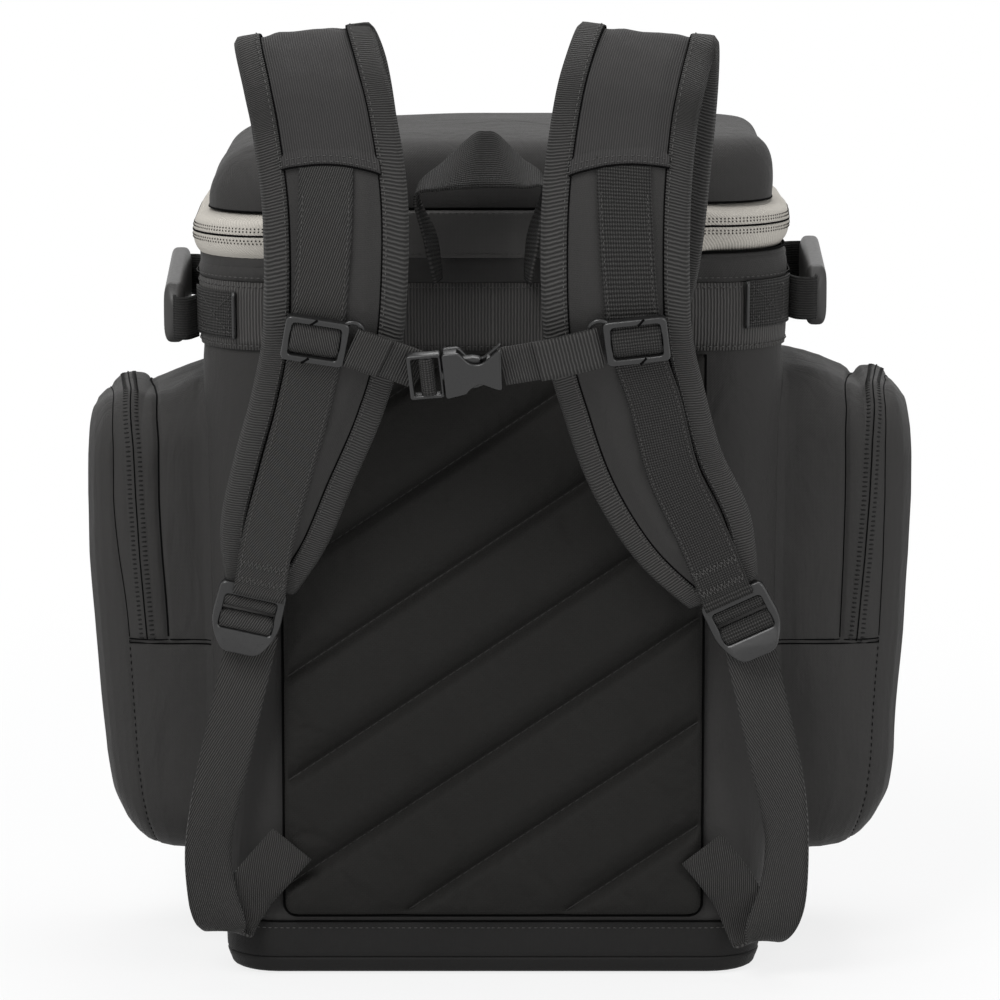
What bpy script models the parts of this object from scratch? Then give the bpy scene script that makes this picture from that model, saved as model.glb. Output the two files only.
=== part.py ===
"""A racket backpack with its lid, pockets, harness and buckles, in metres, +Z up.

The wearer's side faces -Y. The origin is the middle of the base, on the floor.
"""

import math

import bmesh
import bpy
from mathutils import Matrix, Vector

# Clearances and cloth
GAP = 0.0003
WALL = 0.003
WEB_T = 0.0016
# Outlines are filled at millimetre scale, because filling is exact to a fixed distance
MM = 1000

# Body
HALF_DEPTH = 0.105
HALF_WIDTH_BASE = 0.157
HALF_WIDTH_LOW = 0.1645
HALF_WIDTH_MID = 0.169
HALF_WIDTH_TOP = 0.172
FLAT_HALF = 0.127
BOOT_TOP = 0.033
LOW_Z = 0.12
MID_Z = 0.27
RIM_Z = 0.428
SEAM_X = FLAT_HALF - 0.006
BOARD_T = 0.003
BOARD_INSET = 0.03
FRAME_T = 0.002
FRAME_INSET = 0.006
FRAME_FOOT = 0.012
BOOT_ROUND = ((0.018, 0.0), (0.008, -0.004), (0.002, -0.011), (0.0, -0.02))

# Band, collar and zip
BAND_LOW = 0.374
BAND_HIGH = 0.4135
COLLAR_LOW = BAND_HIGH + GAP
COLLAR_T = 0.002
TAPE_T = 0.0024
ZIP_RISE = 0.015
SPLIT_Z = RIM_Z + ZIP_RISE
HINGE_HALF = 0.118
COIL_HALF = 0.003
COIL_T = 0.0016

# Lid, as heights above the split and insets from the rim outline
LID_STEPS = ((0.0127, 0.0), (0.016, 0.0), (0.026, 0.004), (0.037, 0.0105), (0.045, 0.019), (0.0495, 0.034))
LID_CROWN = 0.004

# Back pad
PAD_HALF = 0.1235
PAD_LOW = BOOT_TOP + 0.004
PAD_HIGH = BAND_LOW - 0.002
PAD_T = 0.0135
PAD_EDGE = 0.004
PAD_ROLL = 0.013
CHANNEL_SLOPE = 0.62
CHANNEL_RISE = 0.0625
CHANNEL_START = 0.0545
CHANNEL_HALF = 0.007
CHANNEL_DEPTH = 0.005

# Side pockets
POCKET_REACH = 0.074
POCKET_LOW = 0.06
POCKET_HIGH = 0.356
POCKET_DROP = 0.016
POCKET_HALF = 0.073
POCKET_CORNER = 0.036
POCKET_LEVELS = (LOW_Z, 0.2, MID_Z)
POCKET_FULL = ((POCKET_LOW, 0.76), (0.16, 0.93), (0.24, 1.0), (0.31, 0.985), (POCKET_HIGH, 0.9))
POCKET_WALL = 0.0022
POCKET_GAP = 0.001
POCKET_RINGS = ((0.0, 0.0), (0.35, 0.001), (0.7, -0.003), (0.9, -0.0085), (1.0, -0.02))
POCKET_ZIP = (0.46, 0.6)
POCKET_ZIP_LOW = 0.192

# Side grips
GRIP_Z = 0.3965
GRIP_REACH = 0.0215
GRIP_NEAR = -0.073
GRIP_FAR = 0.069
GRIP_WEB_HALF = 0.0125
GRIP_BEND = 0.006
GRIP_TUBE = (0.013, GRIP_FAR - GRIP_NEAR - 2 * GRIP_BEND - 4 * GAP, 0.032)
GRIP_STANDOFF = 0.0085

# Shoulder straps: x, distance behind the back panel, z, half width and how far the webbing lies
# off the middle, from root to tail
STRAP_T = 0.014
STRAP_LEFT = (
    (-0.090, 0.0042, 0.400, 0.036, 0), (-0.090, 0.03, 0.398, 0.037, 0),
    (-0.090, 0.058, 0.409, 0.038, 0), (-0.091, 0.076, 0.440, 0.039, 0),
    (-0.095, 0.082, 0.490, 0.039, 0), (-0.102, 0.086, 0.538, 0.0385, 0),
    (-0.1056, 0.103, 0.560, 0.038, 0), (-0.0998, 0.121, 0.540, 0.0388, 0),
    (-0.0932, 0.124, 0.5157, 0.0394, 0), (-0.0869, 0.122, 0.4673, 0.0396, -0.0055),
    (-0.0891, 0.103, 0.400, 0.0386, -0.009), (-0.0985, 0.082, 0.3573, 0.037, -0.008),
    (-0.1135, 0.059, 0.3134, 0.0343, -0.005), (-0.1263, 0.042, 0.2727, 0.0305, -0.003),
    (-0.1346, 0.032, 0.2415, 0.0205, 0),
)
STRAP_RIGHT = (
    (0.0735, 0.0042, 0.400, 0.036, 0), (0.0735, 0.03, 0.398, 0.037, 0),
    (0.0735, 0.058, 0.409, 0.038, 0), (0.074, 0.076, 0.440, 0.039, 0),
    (0.075, 0.082, 0.490, 0.039, 0), (0.079, 0.086, 0.538, 0.0385, 0),
    (0.0824, 0.103, 0.559, 0.038, 0), (0.0769, 0.121, 0.540, 0.0386, 0),
    (0.0722, 0.124, 0.5157, 0.0394, 0), (0.0682, 0.122, 0.4673, 0.0404, 0.005),
    (0.0698, 0.103, 0.400, 0.0406, 0.0095), (0.0793, 0.082, 0.3573, 0.040, 0.0125),
    (0.0932, 0.059, 0.3134, 0.0386, 0.01), (0.1147, 0.042, 0.2727, 0.0355, 0.0065),
    (0.1330, 0.032, 0.2375, 0.022, 0.002),
)
STRAP_STEPS = 2
STRAP_WEB_HALF = 0.015
STRAP_WEB_FROM = 17
SLIDER_STATION = 20

# Ladder-lock buckles
LOCK_HALF = 0.0185
LOCK_LENGTH = 0.038
LOCK_T = 0.006

# Lower webbing: x, distance behind the back panel, z and the way that its face looks
LOWER_HALF = 0.0146
LOWER_LEFT = (
    (-0.1392, 0.022, 0.212, 0, -1, 0), (-0.149, 0.023, 0.170, 0, -1, 0),
    (-0.156, 0.0225, 0.139, 0, -1, 0), (-0.163, 0.021, 0.108, 0, -1, 0),
    (-0.168, 0.018, 0.080, 0, -1, 0), (-0.168, 0.016, 0.052, 0, -1, 0),
    (-0.164, 0.015, 0.034, -0.2, -1, -0.2), (-0.157, 0.0115, 0.0225, -0.2, -0.3, -1),
    (-0.1495, 0.0075, 0.033, -0.3, 1, -0.4), (-0.140, 0.0065, 0.049, -0.1, 1, 0),
    (-0.130, 0.0105, 0.064, 0, 1, 0), (-0.1205, 0.0157, 0.0785, 0, 1, 0),
)
LOWER_RIGHT = (
    (0.1475, 0.022, 0.212, 0, -1, 0), (0.157, 0.023, 0.170, 0, -1, 0),
    (0.164, 0.0225, 0.139, 0, -1, 0), (0.170, 0.021, 0.108, 0, -1, 0),
    (0.1725, 0.018, 0.080, 0, -1, 0), (0.171, 0.016, 0.052, 0, -1, 0),
    (0.166, 0.015, 0.032, 0.2, -1, -0.2), (0.158, 0.0115, 0.0205, 0.2, -0.3, -1),
    (0.1505, 0.0075, 0.031, 0.3, 1, -0.4), (0.142, 0.0065, 0.048, 0.1, 1, 0),
    (0.133, 0.0105, 0.064, 0, 1, 0), (0.125, 0.0157, 0.077, 0, 1, 0),
)

# Haul loop: the two edges of its webbing from foot to foot, as x, distance behind and z
LOOP_BACK = (
    (-0.0328, 0.0045, 0.4165), (-0.039, 0.007, 0.445), (-0.0425, 0.013, 0.470),
    (-0.030, 0.019, 0.486), (-0.0045, 0.025, 0.5028), (0.018, 0.019, 0.486),
    (0.0275, 0.013, 0.472), (0.0255, 0.007, 0.445), (0.0214, 0.0045, 0.4165),
)
LOOP_FRONT = (
    (-0.0328, 0.0295, 0.4165), (-0.039, 0.037, 0.445), (-0.0425, 0.045, 0.4695),
    (-0.028, 0.0505, 0.4735), (-0.0055, 0.0515, 0.4745), (0.017, 0.0505, 0.4745),
    (0.0275, 0.045, 0.472), (0.0255, 0.037, 0.445), (0.0214, 0.0295, 0.4165),
)
LOOP_T = 0.002

# Sternum strap
SLIDER_HALF = (0.018, 0.012)
SLIDER_T = 0.005
STERNUM_WEB_HALF = 0.0118
STERNUM_WEB_GAP = 0.0022
STERNUM_LEVEL = 0.006
BUCKLE_AT = (-0.0311, 0.3777)
BUCKLE_TILT = math.radians(5.5)
BUCKLE_T = 0.010
SOCKET_HALF = 0.0105
SOCKET_DEEP = 0.024
MALE_T = 0.0052
BUCKLE_LIFT = MALE_T / 2 + WEB_T / 2 + 0.0007

# Zip sliders
ZIP_BODY = (0.012, 0.009, 0.0032)
ZIP_BAR = 0.005
ZIP_PULL = 0.03
LID_SLIDER_X = 0.012

MATERIALS = {
    "fabric": ((0.035, 0.035, 0.036), 0.8),
    "back_fabric": ((0.018, 0.018, 0.017), 0.9),
    "webbing": ((0.03, 0.03, 0.03), 0.85),
    "tape": ((0.42, 0.40, 0.36), 0.8),
    "plastic": ((0.025, 0.025, 0.026), 0.35),
    "rubber": ((0.05, 0.048, 0.047), 0.5),
    "sheet_plastic": ((0.3, 0.3, 0.3), 0.5),
}

for old in list(bpy.data.objects):
    bpy.data.objects.remove(old, do_unlink=True)
parts = bpy.data.collections.new("racket_backpack")
bpy.context.scene.collection.children.link(parts)
cutters = bpy.data.collections.new("cutters")
cutters.hide_render = True
bpy.context.scene.collection.children.link(cutters)


def material(slot):
    """The one material of a slot, made when it is first asked for."""
    found = bpy.data.materials.get(slot)
    if found:
        return found
    made = bpy.data.materials.new(slot)
    made.use_nodes = True
    shader = made.node_tree.nodes["Principled BSDF"]
    colour, roughness = MATERIALS[slot]
    shader.inputs["Base Color"].default_value = (*colour, 1)
    shader.inputs["Roughness"].default_value = roughness
    return made


def add(name, data, slot, frame=None):
    """Puts mesh or curve data into the scene as one sub-part."""
    made = bpy.data.objects.new(name, data)
    made.data.materials.append(material(slot))
    if frame:
        made.matrix_world = frame
    parts.objects.link(made)
    return made


def mesh_from(bm, name):
    mesh = bpy.data.meshes.new(name)
    bm.to_mesh(mesh)
    bm.free()
    return mesh


def frame_at(origin, along, across):
    """A frame whose X runs along, whose Y runs across and whose Z is their cross product."""
    x = Vector(along).normalized()
    z = x.cross(Vector(across)).normalized()
    y = z.cross(x)
    turn = Matrix((x, y, z)).transposed().to_4x4()
    turn.translation = origin
    return turn


def sheet(name, rows, thickness, slot, closed=False):
    """Cloth through rows of points, with half its thickness on each side."""
    bm = bmesh.new()
    verts = [bm.verts.new(p) for p in rows[0]]
    ends = verts[1:] + verts[:1] if closed else verts[1:]
    edges = [bm.edges.new(pair) for pair in zip(verts, ends)]
    for row in rows[1:]:
        made = bmesh.ops.extrude_edge_only(bm, edges=edges)["geom"]
        new_verts = [g for g in made if isinstance(g, bmesh.types.BMVert)]
        places = {tuple(v.co): i for i, v in enumerate(verts)}
        ordered = [None] * len(verts)
        for vert in new_verts:
            ordered[places[tuple(vert.co)]] = vert
        for vert, place in zip(ordered, row):
            vert.co = place
        verts = ordered
        edges = [g for g in made if isinstance(g, bmesh.types.BMEdge) and len(g.link_faces) == 1]
        edges = [e for e in edges if set(e.verts) <= set(verts)]
    bmesh.ops.recalc_face_normals(bm, faces=bm.faces)
    made = add(name, mesh_from(bm, name), slot)
    solid = made.modifiers.new("Solidify", "SOLIDIFY")
    solid.thickness = thickness
    solid.offset = 0
    solid.use_even_offset = True
    return made


def bridged(rings):
    """A bmesh with faces between successive closed rings of points."""
    bm = bmesh.new()
    loops = []
    for ring in rings:
        verts = [bm.verts.new(p) for p in ring]
        loops.append([bm.edges.new(pair) for pair in zip(verts, verts[1:] + verts[:1])])
    for low, high in zip(loops, loops[1:]):
        bmesh.ops.bridge_loops(bm, edges=low + high)
    return bm, loops


def loft(name, rings, slot):
    """A solid through closed rings of points, with flat ends."""
    bm, loops = bridged(rings)
    bmesh.ops.contextual_create(bm, geom=loops[0])
    bmesh.ops.contextual_create(bm, geom=loops[-1])
    bmesh.ops.recalc_face_normals(bm, faces=bm.faces)
    return add(name, mesh_from(bm, name), slot)


def shell(name, rings, crown, thickness, slot):
    """A cap through rings, closed at the last one by a fan that crown lifts, and hollow inside."""
    bm, loops = bridged(rings)
    cap = bmesh.ops.contextual_create(bm, geom=loops[-1])["faces"]
    middle = bmesh.ops.poke(bm, faces=cap)["verts"][0]
    middle.co += Vector(crown)
    bmesh.ops.recalc_face_normals(bm, faces=bm.faces)
    ring_middle = sum((Vector(p) for p in rings[0]), Vector()) / len(rings[0])
    if middle.normal.dot(middle.co - ring_middle) < 0:
        bmesh.ops.reverse_faces(bm, faces=bm.faces)
    made = add(name, mesh_from(bm, name), slot)
    solid = made.modifiers.new("Solidify", "SOLIDIFY")
    solid.thickness = thickness
    solid.offset = -1
    solid.use_even_offset = True
    return made


def plate(name, outlines, thickness, slot, frame, bevel=0.0004):
    """A flat moulding: the first outline is its edge, and the others are holes."""
    curve = bpy.data.curves.new(name, "CURVE")
    curve.dimensions = "2D"
    curve.fill_mode = "BOTH"
    curve.extrude = MM * (thickness / 2 - bevel)
    curve.bevel_depth = MM * bevel
    curve.bevel_resolution = 0
    curve.offset = -MM * bevel
    for outline in outlines:
        spline = curve.splines.new("POLY")
        spline.points.add(len(outline) - 1)
        for point, (x, y) in zip(spline.points, outline):
            point.co = (MM * x, MM * y, 0, 1)
        spline.use_cyclic_u = True
    helper = bpy.data.objects.new(name + "_outline", curve)
    cutters.objects.link(helper)
    mesh = bpy.data.meshes.new_from_object(helper)
    bpy.data.objects.remove(helper, do_unlink=True)
    bm = bmesh.new()
    bm.from_mesh(mesh)
    bmesh.ops.remove_doubles(bm, verts=bm.verts, dist=0.01)
    bmesh.ops.scale(bm, vec=(1 / MM, 1 / MM, 1 / MM), verts=bm.verts)
    bmesh.ops.recalc_face_normals(bm, faces=bm.faces)
    return add(name, mesh_from(bm, name), slot, frame)


def block(name, size, centre, slot, frame, bevel=0.0, segments=1):
    """A box of this size about a centre in the frame, with rounded edges if asked."""
    bm = bmesh.new()
    bmesh.ops.create_cube(bm, size=1)
    bmesh.ops.scale(bm, vec=size, verts=bm.verts)
    bmesh.ops.translate(bm, vec=centre, verts=bm.verts)
    if bevel:
        bmesh.ops.bevel(bm, geom=bm.edges, offset=bevel, segments=segments, profile=0.5,
                        affect="EDGES", material=-1)
    return add(name, mesh_from(bm, name), slot, frame)


def boolean(made, operation, other):
    """Joins or cuts with another object, which becomes a helper."""
    parts.objects.unlink(other)
    cutters.objects.link(other)
    other.hide_render = True
    other.display_type = "WIRE"
    step = made.modifiers.new(operation.title(), "BOOLEAN")
    step.operation = operation
    step.solver = "EXACT"
    step.object = other


def between(pairs, value):
    """The height of a broken line through (place, height) pairs."""
    for (a, low), (b, high) in zip(pairs, pairs[1:]):
        if value <= b:
            return low + (high - low) * max(0.0, value - a) / (b - a)
    return pairs[-1][1]


def half_width(z):
    return between(((BOOT_TOP, HALF_WIDTH_BASE), (LOW_Z, HALF_WIDTH_LOW),
                    (MID_Z, HALF_WIDTH_MID), (RIM_Z, HALF_WIDTH_TOP)), z)


def corner_point(z, out, degrees):
    """A point of the right rear or right front corner: -90 is the back, 0 the side, 90 the front."""
    radius = half_width(z) - FLAT_HALF
    middle = math.copysign(HALF_DEPTH - radius, degrees if degrees else -1)
    turn = math.radians(degrees)
    reach = radius + out
    return (FLAT_HALF + reach * math.cos(turn), middle + reach * math.sin(turn), z)


def side_path(side, z, out, start):
    """Points round one side of the body, from the back to the front."""
    depth = HALF_DEPTH + out
    rear = [corner_point(z, out, a) for a in (-90, -67.5, -45, -22.5, -0.001)]
    front = [corner_point(z, out, a) for a in (0.001, 22.5, 45, 67.5, 90)]
    path = [(start, -depth, z), *rear, *front, (start, depth, z)]
    return [(side * x, y, h) for x, y, h in path]


def around(z, out):
    """The whole outline of the body as a closed ring."""
    left = side_path(-1, z, out, SEAM_X)
    return side_path(1, z, out, SEAM_X) + left[::-1]


def zip_path(z, out):
    """The outline without the hinge stretch at the back."""
    left = side_path(-1, z, out, HINGE_HALF)
    return left + side_path(1, z, out, HINGE_HALF)[::-1]


def smooth_path(points, steps):
    """Extra points on a smooth curve through the given ones, whatever they hold."""
    made = []
    last = len(points) - 1
    for i in range(last):
        four = [points[max(i - 1, 0)], points[i], points[i + 1], points[min(i + 2, last)]]
        for k in range(steps):
            t = k / steps
            weights = (-t / 2 + t * t - t ** 3 / 2, 1 - 2.5 * t * t + 1.5 * t ** 3,
                       t / 2 + 2 * t * t - 1.5 * t ** 3, -t * t / 2 + t ** 3 / 2)
            made.append(tuple(sum(w * p[n] for w, p in zip(weights, four))
                              for n in range(len(points[0]))))
    made.append(tuple(points[last]))
    return made


def behind(points):
    """Points given by their distance behind the back panel, as points of the frame."""
    return [(x, -HALF_DEPTH - back, *rest) for x, back, *rest in points]


def tangents(path):
    """The direction at each point of a path."""
    ends = [path[0], *path, path[-1]]
    return [(Vector(b[:3]) - Vector(a[:3])).normalized() for a, b in zip(ends, ends[2:])]


def make_body():
    levels = (BOOT_TOP + GAP, LOW_Z, MID_Z, BAND_LOW, RIM_Z)
    inside = -WALL / 2
    for side, word in ((-1, "left"), (1, "right")):
        rows = [side_path(side, z, inside, SEAM_X + GAP) for z in levels]
        sheet(f"side_panel_{word}", rows, WALL, "fabric")
    for facing, word in ((-1, "back_lining"), (1, "front_panel")):
        depth = facing * (HALF_DEPTH + inside)
        rows = [[(x, depth, z) for x in (-SEAM_X, 0, SEAM_X)] for z in levels]
        sheet(word, rows, WALL, "fabric")
    rings = [around(BOOT_TOP, 0)]
    for height, inset in BOOT_ROUND:
        rings.append([(x, y, height) for x, y, _ in around(BOOT_TOP, inset)])
    shell("base_boot", rings, (0, 0, 0), WALL, "fabric")
    size = (2 * (HALF_WIDTH_BASE - BOARD_INSET), 2 * (HALF_DEPTH - BOARD_INSET), BOARD_T)
    block("base_board", size, (0, 0, WALL + GAP + BOARD_T / 2), "sheet_plastic", None)
    low = BOOT_TOP + FRAME_FOOT
    size = (2 * (SEAM_X - FRAME_INSET), FRAME_T, BAND_HIGH - low)
    middle = (0, -HALF_DEPTH + WALL + GAP + FRAME_T / 2, (low + BAND_HIGH) / 2)
    block("frame_sheet", size, middle, "sheet_plastic", None)


def make_bands():
    out = GAP + WEB_T / 2
    sheet("girth_webbing", [around(BAND_LOW, out), around(BAND_HIGH, out)], WEB_T, "webbing", True)
    out = GAP + COLLAR_T / 2
    sheet("zip_collar", [around(COLLAR_LOW, out), around(RIM_Z - GAP, out)], COLLAR_T, "fabric", True)
    inside = -TAPE_T / 2
    low, high = RIM_Z + GAP, SPLIT_Z - GAP / 2
    sheet("zip_tape_lower", [zip_path(low, inside), zip_path(high, inside)], TAPE_T, "tape")
    sheet("hinge_strip", hinge_rows(low, high, inside), TAPE_T, "fabric")
    out = GAP + COIL_T / 2
    rows = [zip_path(SPLIT_Z - COIL_HALF, out), zip_path(SPLIT_Z - GAP / 2, out)]
    sheet("zip_coil_lower", rows, COIL_T, "webbing")


def hinge_rows(low, high, out):
    depth = -HALF_DEPTH - out
    edge = HINGE_HALF - GAP
    return [[(x, depth, z) for x in (-edge, 0, edge)] for z in (low, high)]


def make_lid():
    inside = -TAPE_T / 2
    low, high = SPLIT_Z + GAP / 2, SPLIT_Z + LID_STEPS[0][0] - GAP
    sheet("zip_tape_upper", [zip_path(low, inside), zip_path(high, inside)], TAPE_T, "tape")
    sheet("lid_hinge_strip", hinge_rows(low, high, inside), TAPE_T, "fabric")
    out = GAP + COIL_T / 2
    rows = [zip_path(low, out), zip_path(SPLIT_Z + COIL_HALF, out)]
    sheet("zip_coil_upper", rows, COIL_T, "webbing")
    rings = []
    for rise, inset in LID_STEPS:
        rings.append([(x, y, SPLIT_Z + rise) for x, y, _ in around(RIM_Z, -inset)])
    shell("lid_shell", rings, (0, 0, LID_CROWN), WALL, "fabric")


def make_back_pad():
    """A padded panel with slanting channels, cut along their lines and pressed in there."""
    bm = bmesh.new()
    bmesh.ops.create_grid(bm, x_segments=1, y_segments=1, size=1)
    for vert in bm.verts:
        rise = PAD_LOW if vert.co.y < 0 else PAD_HIGH
        vert.co = (vert.co.x * PAD_HALF, -HALF_DEPTH - GAP, rise)
    upward = Vector((-CHANNEL_SLOPE, 0, 1)).normalized()
    step = CHANNEL_RISE * upward.z
    first = CHANNEL_START - 3 * CHANNEL_RISE
    lines = []
    for n in range(9):
        base = Vector((-PAD_HALF, 0, first + n * CHANNEL_RISE))
        lines += [(base + upward * s, upward) for s in (-CHANNEL_HALF, 0, CHANNEL_HALF, step / 2)]
    for x in (-1, 1):
        lines.append((Vector((x * (PAD_HALF - PAD_ROLL), 0, 0)), Vector((1, 0, 0))))
    for z in (PAD_LOW + PAD_ROLL, PAD_HIGH - PAD_ROLL):
        lines.append((Vector((0, 0, z)), Vector((0, 0, 1))))
    for place, normal in lines:
        everything = bm.verts[:] + bm.edges[:] + bm.faces[:]
        bmesh.ops.bisect_plane(bm, geom=everything, dist=0.0004, plane_co=place, plane_no=normal)
    made = bmesh.ops.extrude_face_region(bm, geom=bm.faces[:], use_keep_orig=True)["geom"]
    for vert in made:
        if isinstance(vert, bmesh.types.BMVert):
            vert.co.y -= pad_height(vert.co, upward, step)
    bmesh.ops.recalc_face_normals(bm, faces=bm.faces)
    add("back_pad", mesh_from(bm, "back_pad"), "back_fabric")


def pad_height(place, upward, step):
    """How far the pad stands out: rolled at its border, pressed in along each channel."""
    inward = min(PAD_HALF - abs(place.x), place.z - PAD_LOW, PAD_HIGH - place.z)
    roll = min(1.0, max(0.0, inward) / PAD_ROLL)
    across = (place - Vector((-PAD_HALF, 0, CHANNEL_START))).dot(upward) % step
    off = min(across, step - across)
    press = max(0.0, 1 - off / CHANNEL_HALF) + 0.25 * max(0.0, 1 - 2 * off / step)
    return PAD_EDGE + (PAD_T - PAD_EDGE) * roll - CHANNEL_DEPTH * min(1.0, press) * roll


def rounded(low, high, half, corner, segments):
    """A rounded rectangle as (y, z) points, from the lower rear corner up, over and down."""
    made = []
    for y, z, start in ((-half + corner, low + corner, 270), (-half + corner, high - corner, 180),
                        (half - corner, high - corner, 90), (half - corner, low + corner, 0)):
        for n in range(segments + 1):
            turn = math.radians(start - 90 * n / segments)
            made.append((y + corner * math.cos(turn), z + corner * math.sin(turn)))
        if start == 270:
            made += [(-half, level) for level in POCKET_LEVELS]
        if start == 90:
            made += [(half, level) for level in reversed(POCKET_LEVELS)]
    return made


def pocket_reach(z):
    """The pocket is fullest above its middle, and draws in below and at its top."""
    return POCKET_REACH * between(POCKET_FULL, z)


def pocket_ring(side, share, grow):
    drop = POCKET_DROP * share
    outline = rounded(POCKET_LOW - grow, POCKET_HIGH - drop + grow, POCKET_HALF + grow,
                      POCKET_CORNER, 4)
    return [(side * (half_width(z) + POCKET_GAP + share * pocket_reach(z)), y, z) for y, z in outline]


def pocket_point(side, share, y_side, z, out):
    """A point on the flat rear (-1) or front (1) face of a pocket."""
    grow = between(POCKET_RINGS, share)
    return (side * (half_width(z) + POCKET_GAP + share * pocket_reach(z)),
            y_side * (POCKET_HALF + grow + out), z)


def make_pockets():
    for side, word in ((-1, "left"), (1, "right")):
        rings = [pocket_ring(side, share, grow) for share, grow in POCKET_RINGS]
        shell(f"pocket_{word}", rings, (side * 0.004, 0, 0), POCKET_WALL, "fabric")
        rows = []
        for share in POCKET_ZIP:
            rows.append(pocket_zip_row(side, share))
        sheet(f"pocket_zip_{word}", rows, WEB_T, "webbing")


def pocket_zip_row(side, share):
    """The zip's line up the rear face of a pocket, over its top and down the front face."""
    out = 0.0008 + WEB_T / 2
    grow = between(POCKET_RINGS, share) + out
    outline = rounded(POCKET_LOW - grow, POCKET_HIGH - POCKET_DROP * share + grow, POCKET_HALF + grow,
                      POCKET_CORNER + out, 4)
    rises = (POCKET_ZIP_LOW, POCKET_FULL[2][0], POCKET_FULL[3][0])
    first = 5 + len(POCKET_LEVELS)
    over = [(-POCKET_HALF - grow, z) for z in rises]
    over += outline[first:first + 10]
    over += [(POCKET_HALF + grow, z) for z in reversed(rises)]
    return [(side * (half_width(z) + POCKET_GAP + share * pocket_reach(z)), y, z) for y, z in over]


def make_grips():
    for side, word in ((-1, "left"), (1, "right")):
        wall = half_width(GRIP_Z) + GAP + WEB_T
        for name, sign in (("rear", -1), ("front", 1)):
            out = 2 * GAP + 1.5 * WEB_T
            rows = []
            for z in (GRIP_Z - GRIP_WEB_HALF, GRIP_Z + GRIP_WEB_HALF):
                row = [corner_point(z, out, sign * a) for a in (67.5, 45, 22.5, 0.001)]
                rows.append([(side * x, y, h) for x, y, h in row])
            sheet(f"grip_patch_{name}_{word}", rows, WEB_T, "webbing")
        start = wall + GRIP_STANDOFF
        end = wall + GRIP_REACH
        bend = GRIP_BEND
        path = [(start, GRIP_NEAR), (end - bend, GRIP_NEAR), (end, GRIP_NEAR + bend),
                (end, GRIP_FAR - bend), (end - bend, GRIP_FAR), (start, GRIP_FAR)]
        rows = [[(side * x, y, GRIP_Z + h) for x, y in path] for h in (-GRIP_WEB_HALF, GRIP_WEB_HALF)]
        sheet(f"grip_webbing_{word}", rows, WEB_T, "webbing")
        middle = (side * end, (GRIP_NEAR + GRIP_FAR) / 2, GRIP_Z)
        tube = block(f"grip_cover_{word}", GRIP_TUBE, (0, 0, 0), "rubber",
                     Matrix.Translation(middle), 0.0055, 2)
        slot = (WEB_T + 2 * GAP, 2 * GRIP_TUBE[1], 2 * GRIP_WEB_HALF + 2 * GAP)
        core = block(f"grip_slot_{word}", slot, (0, 0, 0), "rubber", Matrix.Translation(middle))
        boolean(tube, "DIFFERENCE", core)


def strap_stations(points):
    """Each station of a strap: its place, half width, direction, way across, way out and webbing line."""
    path = smooth_path(behind(points), STRAP_STEPS)
    stations = []
    for point, along in zip(path, tangents(path)):
        across = (Vector((1, 0, 0)) - along * along.x).normalized()
        place = Vector(point[:3])
        stations.append((place, point[3], along, across, along.cross(across), place + across * point[4]))
    return stations


def strap_ring(station):
    place, half, _, across, out, _ = station
    edge = 0.2 * STRAP_T
    thick = STRAP_T / 2
    section = ((-half, -edge), (-half, edge), (-half + 0.011, thick), (half - 0.011, thick),
               (half, edge), (half, -edge), (half - 0.011, -thick), (-half + 0.011, -thick))
    return [place + across * a + out * o for a, o in section]


def make_harness():
    for word, points, lower in (("left", STRAP_LEFT, LOWER_LEFT), ("right", STRAP_RIGHT, LOWER_RIGHT)):
        stations = strap_stations(points)
        loft(f"shoulder_pad_{word}", [strap_ring(s) for s in stations], "fabric")
        rise = STRAP_T / 2 + GAP + WEB_T / 2
        rows = []
        for sign in (-1, 1):
            rows.append([line + a * sign * STRAP_WEB_HALF + o * rise
                         for _, _, _, a, o, line in stations[STRAP_WEB_FROM:]])
        sheet(f"strap_webbing_{word}", rows, WEB_T, "webbing")
        make_ladder_lock(word, stations[-1])
        make_lower_webbing(word, lower)


def make_ladder_lock(word, station):
    _, _, along, across, out, place = station
    tilt = (along + 0.12 * out).normalized()
    frame = frame_at(place + along * 0.0035 + out * 0.004, tilt, across)
    half, long = LOCK_HALF, LOCK_LENGTH
    edge = [(0, -half), (0.6 * long, -half), (long, -0.5 * half), (long, 0.5 * half),
            (0.6 * long, half), (0, half)]
    rail = 0.0032
    first = [(0.0065, -half + rail), (0.0065, half - rail), (0.0145, half - rail), (0.0145, -half + rail)]
    second = [(0.0185, -half + rail), (0.0185, half - rail), (0.0255, half - rail), (0.0255, -half + rail)]
    plate(f"ladder_lock_{word}", [edge, first, second], LOCK_T, "plastic", frame, 0.0008)


def make_lower_webbing(word, points):
    path = smooth_path(behind(points), STRAP_STEPS)
    rows = [[], []]
    for point, along in zip(path, tangents(path)):
        across = along.cross(Vector(point[3:])).normalized()
        for row, sign in zip(rows, (-1, 1)):
            row.append(Vector(point[:3]) + across * sign * LOWER_HALF)
    sheet(f"lower_webbing_{word}", rows, WEB_T, "webbing")


def make_haul_loop():
    rows = [smooth_path(behind(edge), STRAP_STEPS) for edge in (LOOP_BACK, LOOP_FRONT)]
    sheet("haul_loop", rows, LOOP_T, "webbing")


def sternum_out():
    """The plane of the sternum strap: a place on it, and its ways across, up and out."""
    place, _, _, _, out, _ = strap_stations(STRAP_LEFT)[SLIDER_STATION]
    flat = Vector((0, out.y, out.z)).normalized()
    rise = STRAP_T / 2 + GAP + WEB_T + 0.0012 + SLIDER_T / 2
    return place + flat * rise, Vector((1, 0, 0)), flat.cross(Vector((1, 0, 0))), flat


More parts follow.
